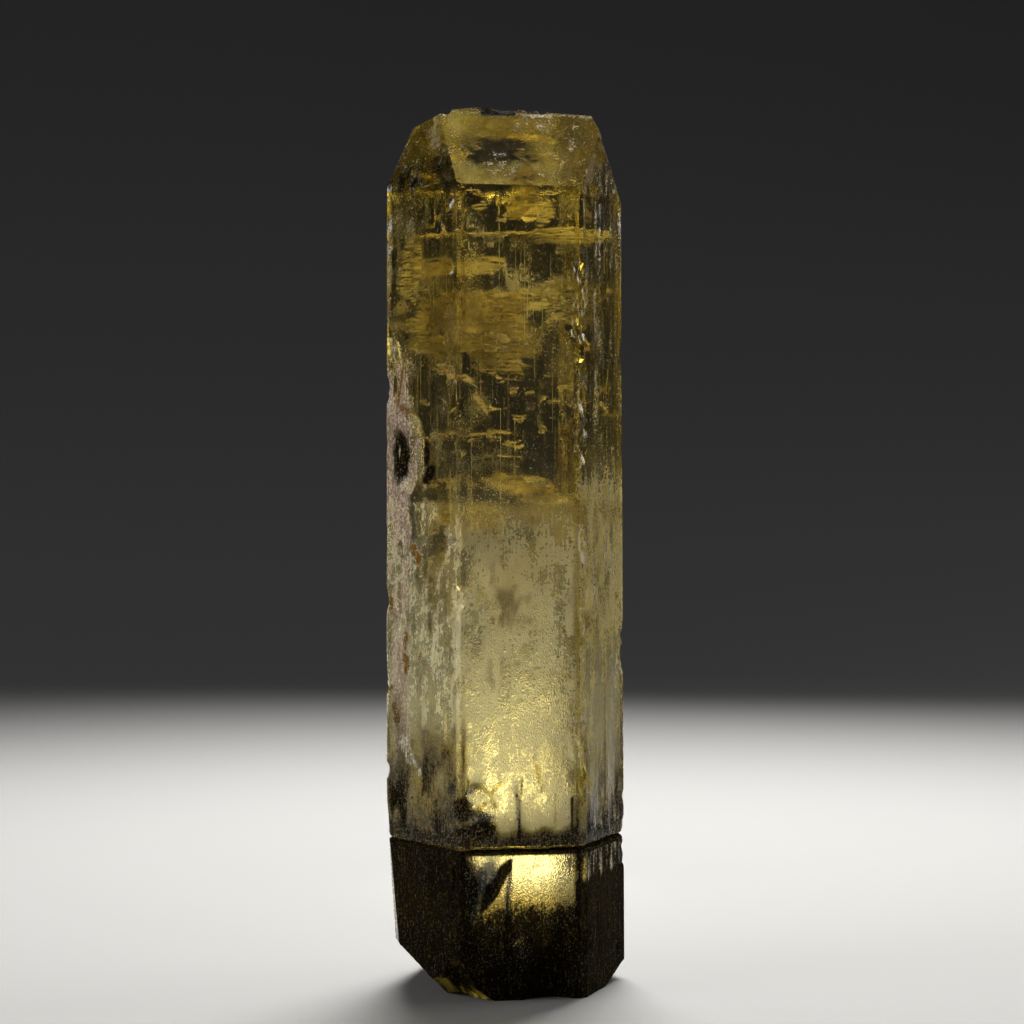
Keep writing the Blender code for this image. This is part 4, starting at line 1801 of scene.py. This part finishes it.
class Studio:
    """The pale floor, the soft lights and the camera."""

    EYE = (0.6, -182.0, 35.2)
    LENS = 85.0
    SENSOR_WIDTH = 36.0
    NEAREST_SEEN = 5.0
    FLOOR_RADIUS = 330.0
    WALL_RADIUS = 620.0
    WALL_HEIGHT = 520.0
    AIR_COLOUR = (0.95, 0.97, 1.0, 1.0)
    AIR_STRENGTH = 0.11
    FLAT_ROWS = 12
    BEND_ROWS = 40
    SPOKES = 96
    NEAR_GREY = (0.165, 0.162, 0.155)
    FAR_GREY = (0.060, 0.060, 0.064)
    GREY_RADII = (90.0, 640.0)

    def floor(self) -> bpy.types.Object:
        """Make a round floor that sweeps up into a backdrop on every side.

        Formula: the profile is level to the floor's radius, then follows a quarter of a
        squared sine up to the wall's radius and height, and is turned about the axis.

        Returns:
            bpy.types.Object: the floor.
        """
        t = np.linspace(0.0, 1.0, self.BEND_ROWS)
        bend = self.FLOOR_RADIUS + (self.WALL_RADIUS - self.FLOOR_RADIUS) * np.sin(t * math.pi / 2.0)
        climb = self.WALL_HEIGHT * (1.0 - np.cos(t * math.pi / 2.0))
        flat = np.linspace(0.0, self.FLOOR_RADIUS, self.FLAT_ROWS, endpoint=False)
        radius = np.concatenate([flat, bend])
        height = np.concatenate([np.zeros(self.FLAT_ROWS), climb])
        turn = np.linspace(0.0, 2.0 * math.pi, self.SPOKES, endpoint=False)
        x = radius[:, None] * np.cos(turn)
        y = radius[:, None] * np.sin(turn)
        z = np.broadcast_to(height[:, None], x.shape)
        points = np.stack([x, y, z], axis=-1).reshape(-1, 3)
        mesh = bpy.data.meshes.new("floor")
        faces = grid_faces(len(radius), len(turn), closed=True)
        mesh.from_pydata((points * MM).tolist(), [], faces.tolist())
        mesh.shade_smooth()
        item = bpy.data.objects.new("floor", mesh)
        bpy.context.scene.collection.objects.link(item)
        bench = Bench("floor_paper")
        settings = {"operation": "LENGTH"}
        length = bench.node("ShaderNodeVectorMath", settings, {0: bench.place}, output="Value")
        colour = bench.mixed(length.step(*self.GREY_RADII), self.NEAR_GREY, self.FAR_GREY)
        paper = bench.surface(bench.shader({"Base Color": colour, "Roughness": 0.85}))
        item.data.materials.append(paper)
        return item

    def air(self) -> bpy.types.World:
        """Return a world of faint, even, slightly blue light.

        Returns:
            bpy.types.World: the world.
        """
        world = bpy.data.worlds.new("studio_air")
        world.use_nodes = True
        background = world.node_tree.nodes["Background"]
        background.inputs["Color"].default_value = self.AIR_COLOUR
        background.inputs["Strength"].default_value = self.AIR_STRENGTH
        return world

    def camera(self) -> bpy.types.Object:
        """Add the camera, which looks level at the crystal's front.

        Returns:
            bpy.types.Object: the camera.
        """
        data = bpy.data.cameras.new("camera")
        data.lens = self.LENS
        data.sensor_width = self.SENSOR_WIDTH
        data.clip_start = self.NEAREST_SEEN * MM
        camera = bpy.data.objects.new("camera", data)
        camera.location = [value * MM for value in self.EYE]
        camera.rotation_euler = (math.pi / 2.0, 0.0, 0.0)
        bpy.context.scene.collection.objects.link(camera)
        return camera

    def build(self) -> None:
        """Set up the floor, lights, world, camera and the number of light bounces."""
        scene = bpy.context.scene
        self.floor()
        for lamp in LAMPS:
            lamp.build()
        scene.world = self.air()
        scene.camera = self.camera()
        scene.view_settings.view_transform = "Standard"
        scene.cycles.max_bounces = 10
        scene.cycles.transmission_bounces = 10
        scene.cycles.glossy_bounces = 3
        scene.cycles.diffuse_bounces = 1
        scene.cycles.use_light_tree = False
        scene.cycles.transparent_max_bounces = 14


def main() -> None:
    """Build the crystal and its studio, and report each piece."""
    logging.basicConfig(level=logging.INFO, format="%(message)s")
    Studio().build()
    form = CrystalForm()
    body = CrystalBody(form).build()
    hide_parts(NODE)
    for piece in [body, *Inclusions(form).build()]:
        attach(piece, BODY)
        log.info("%s: %d faces", piece.name, len(piece.data.polygons))


if __name__ == "__main__":
    main()
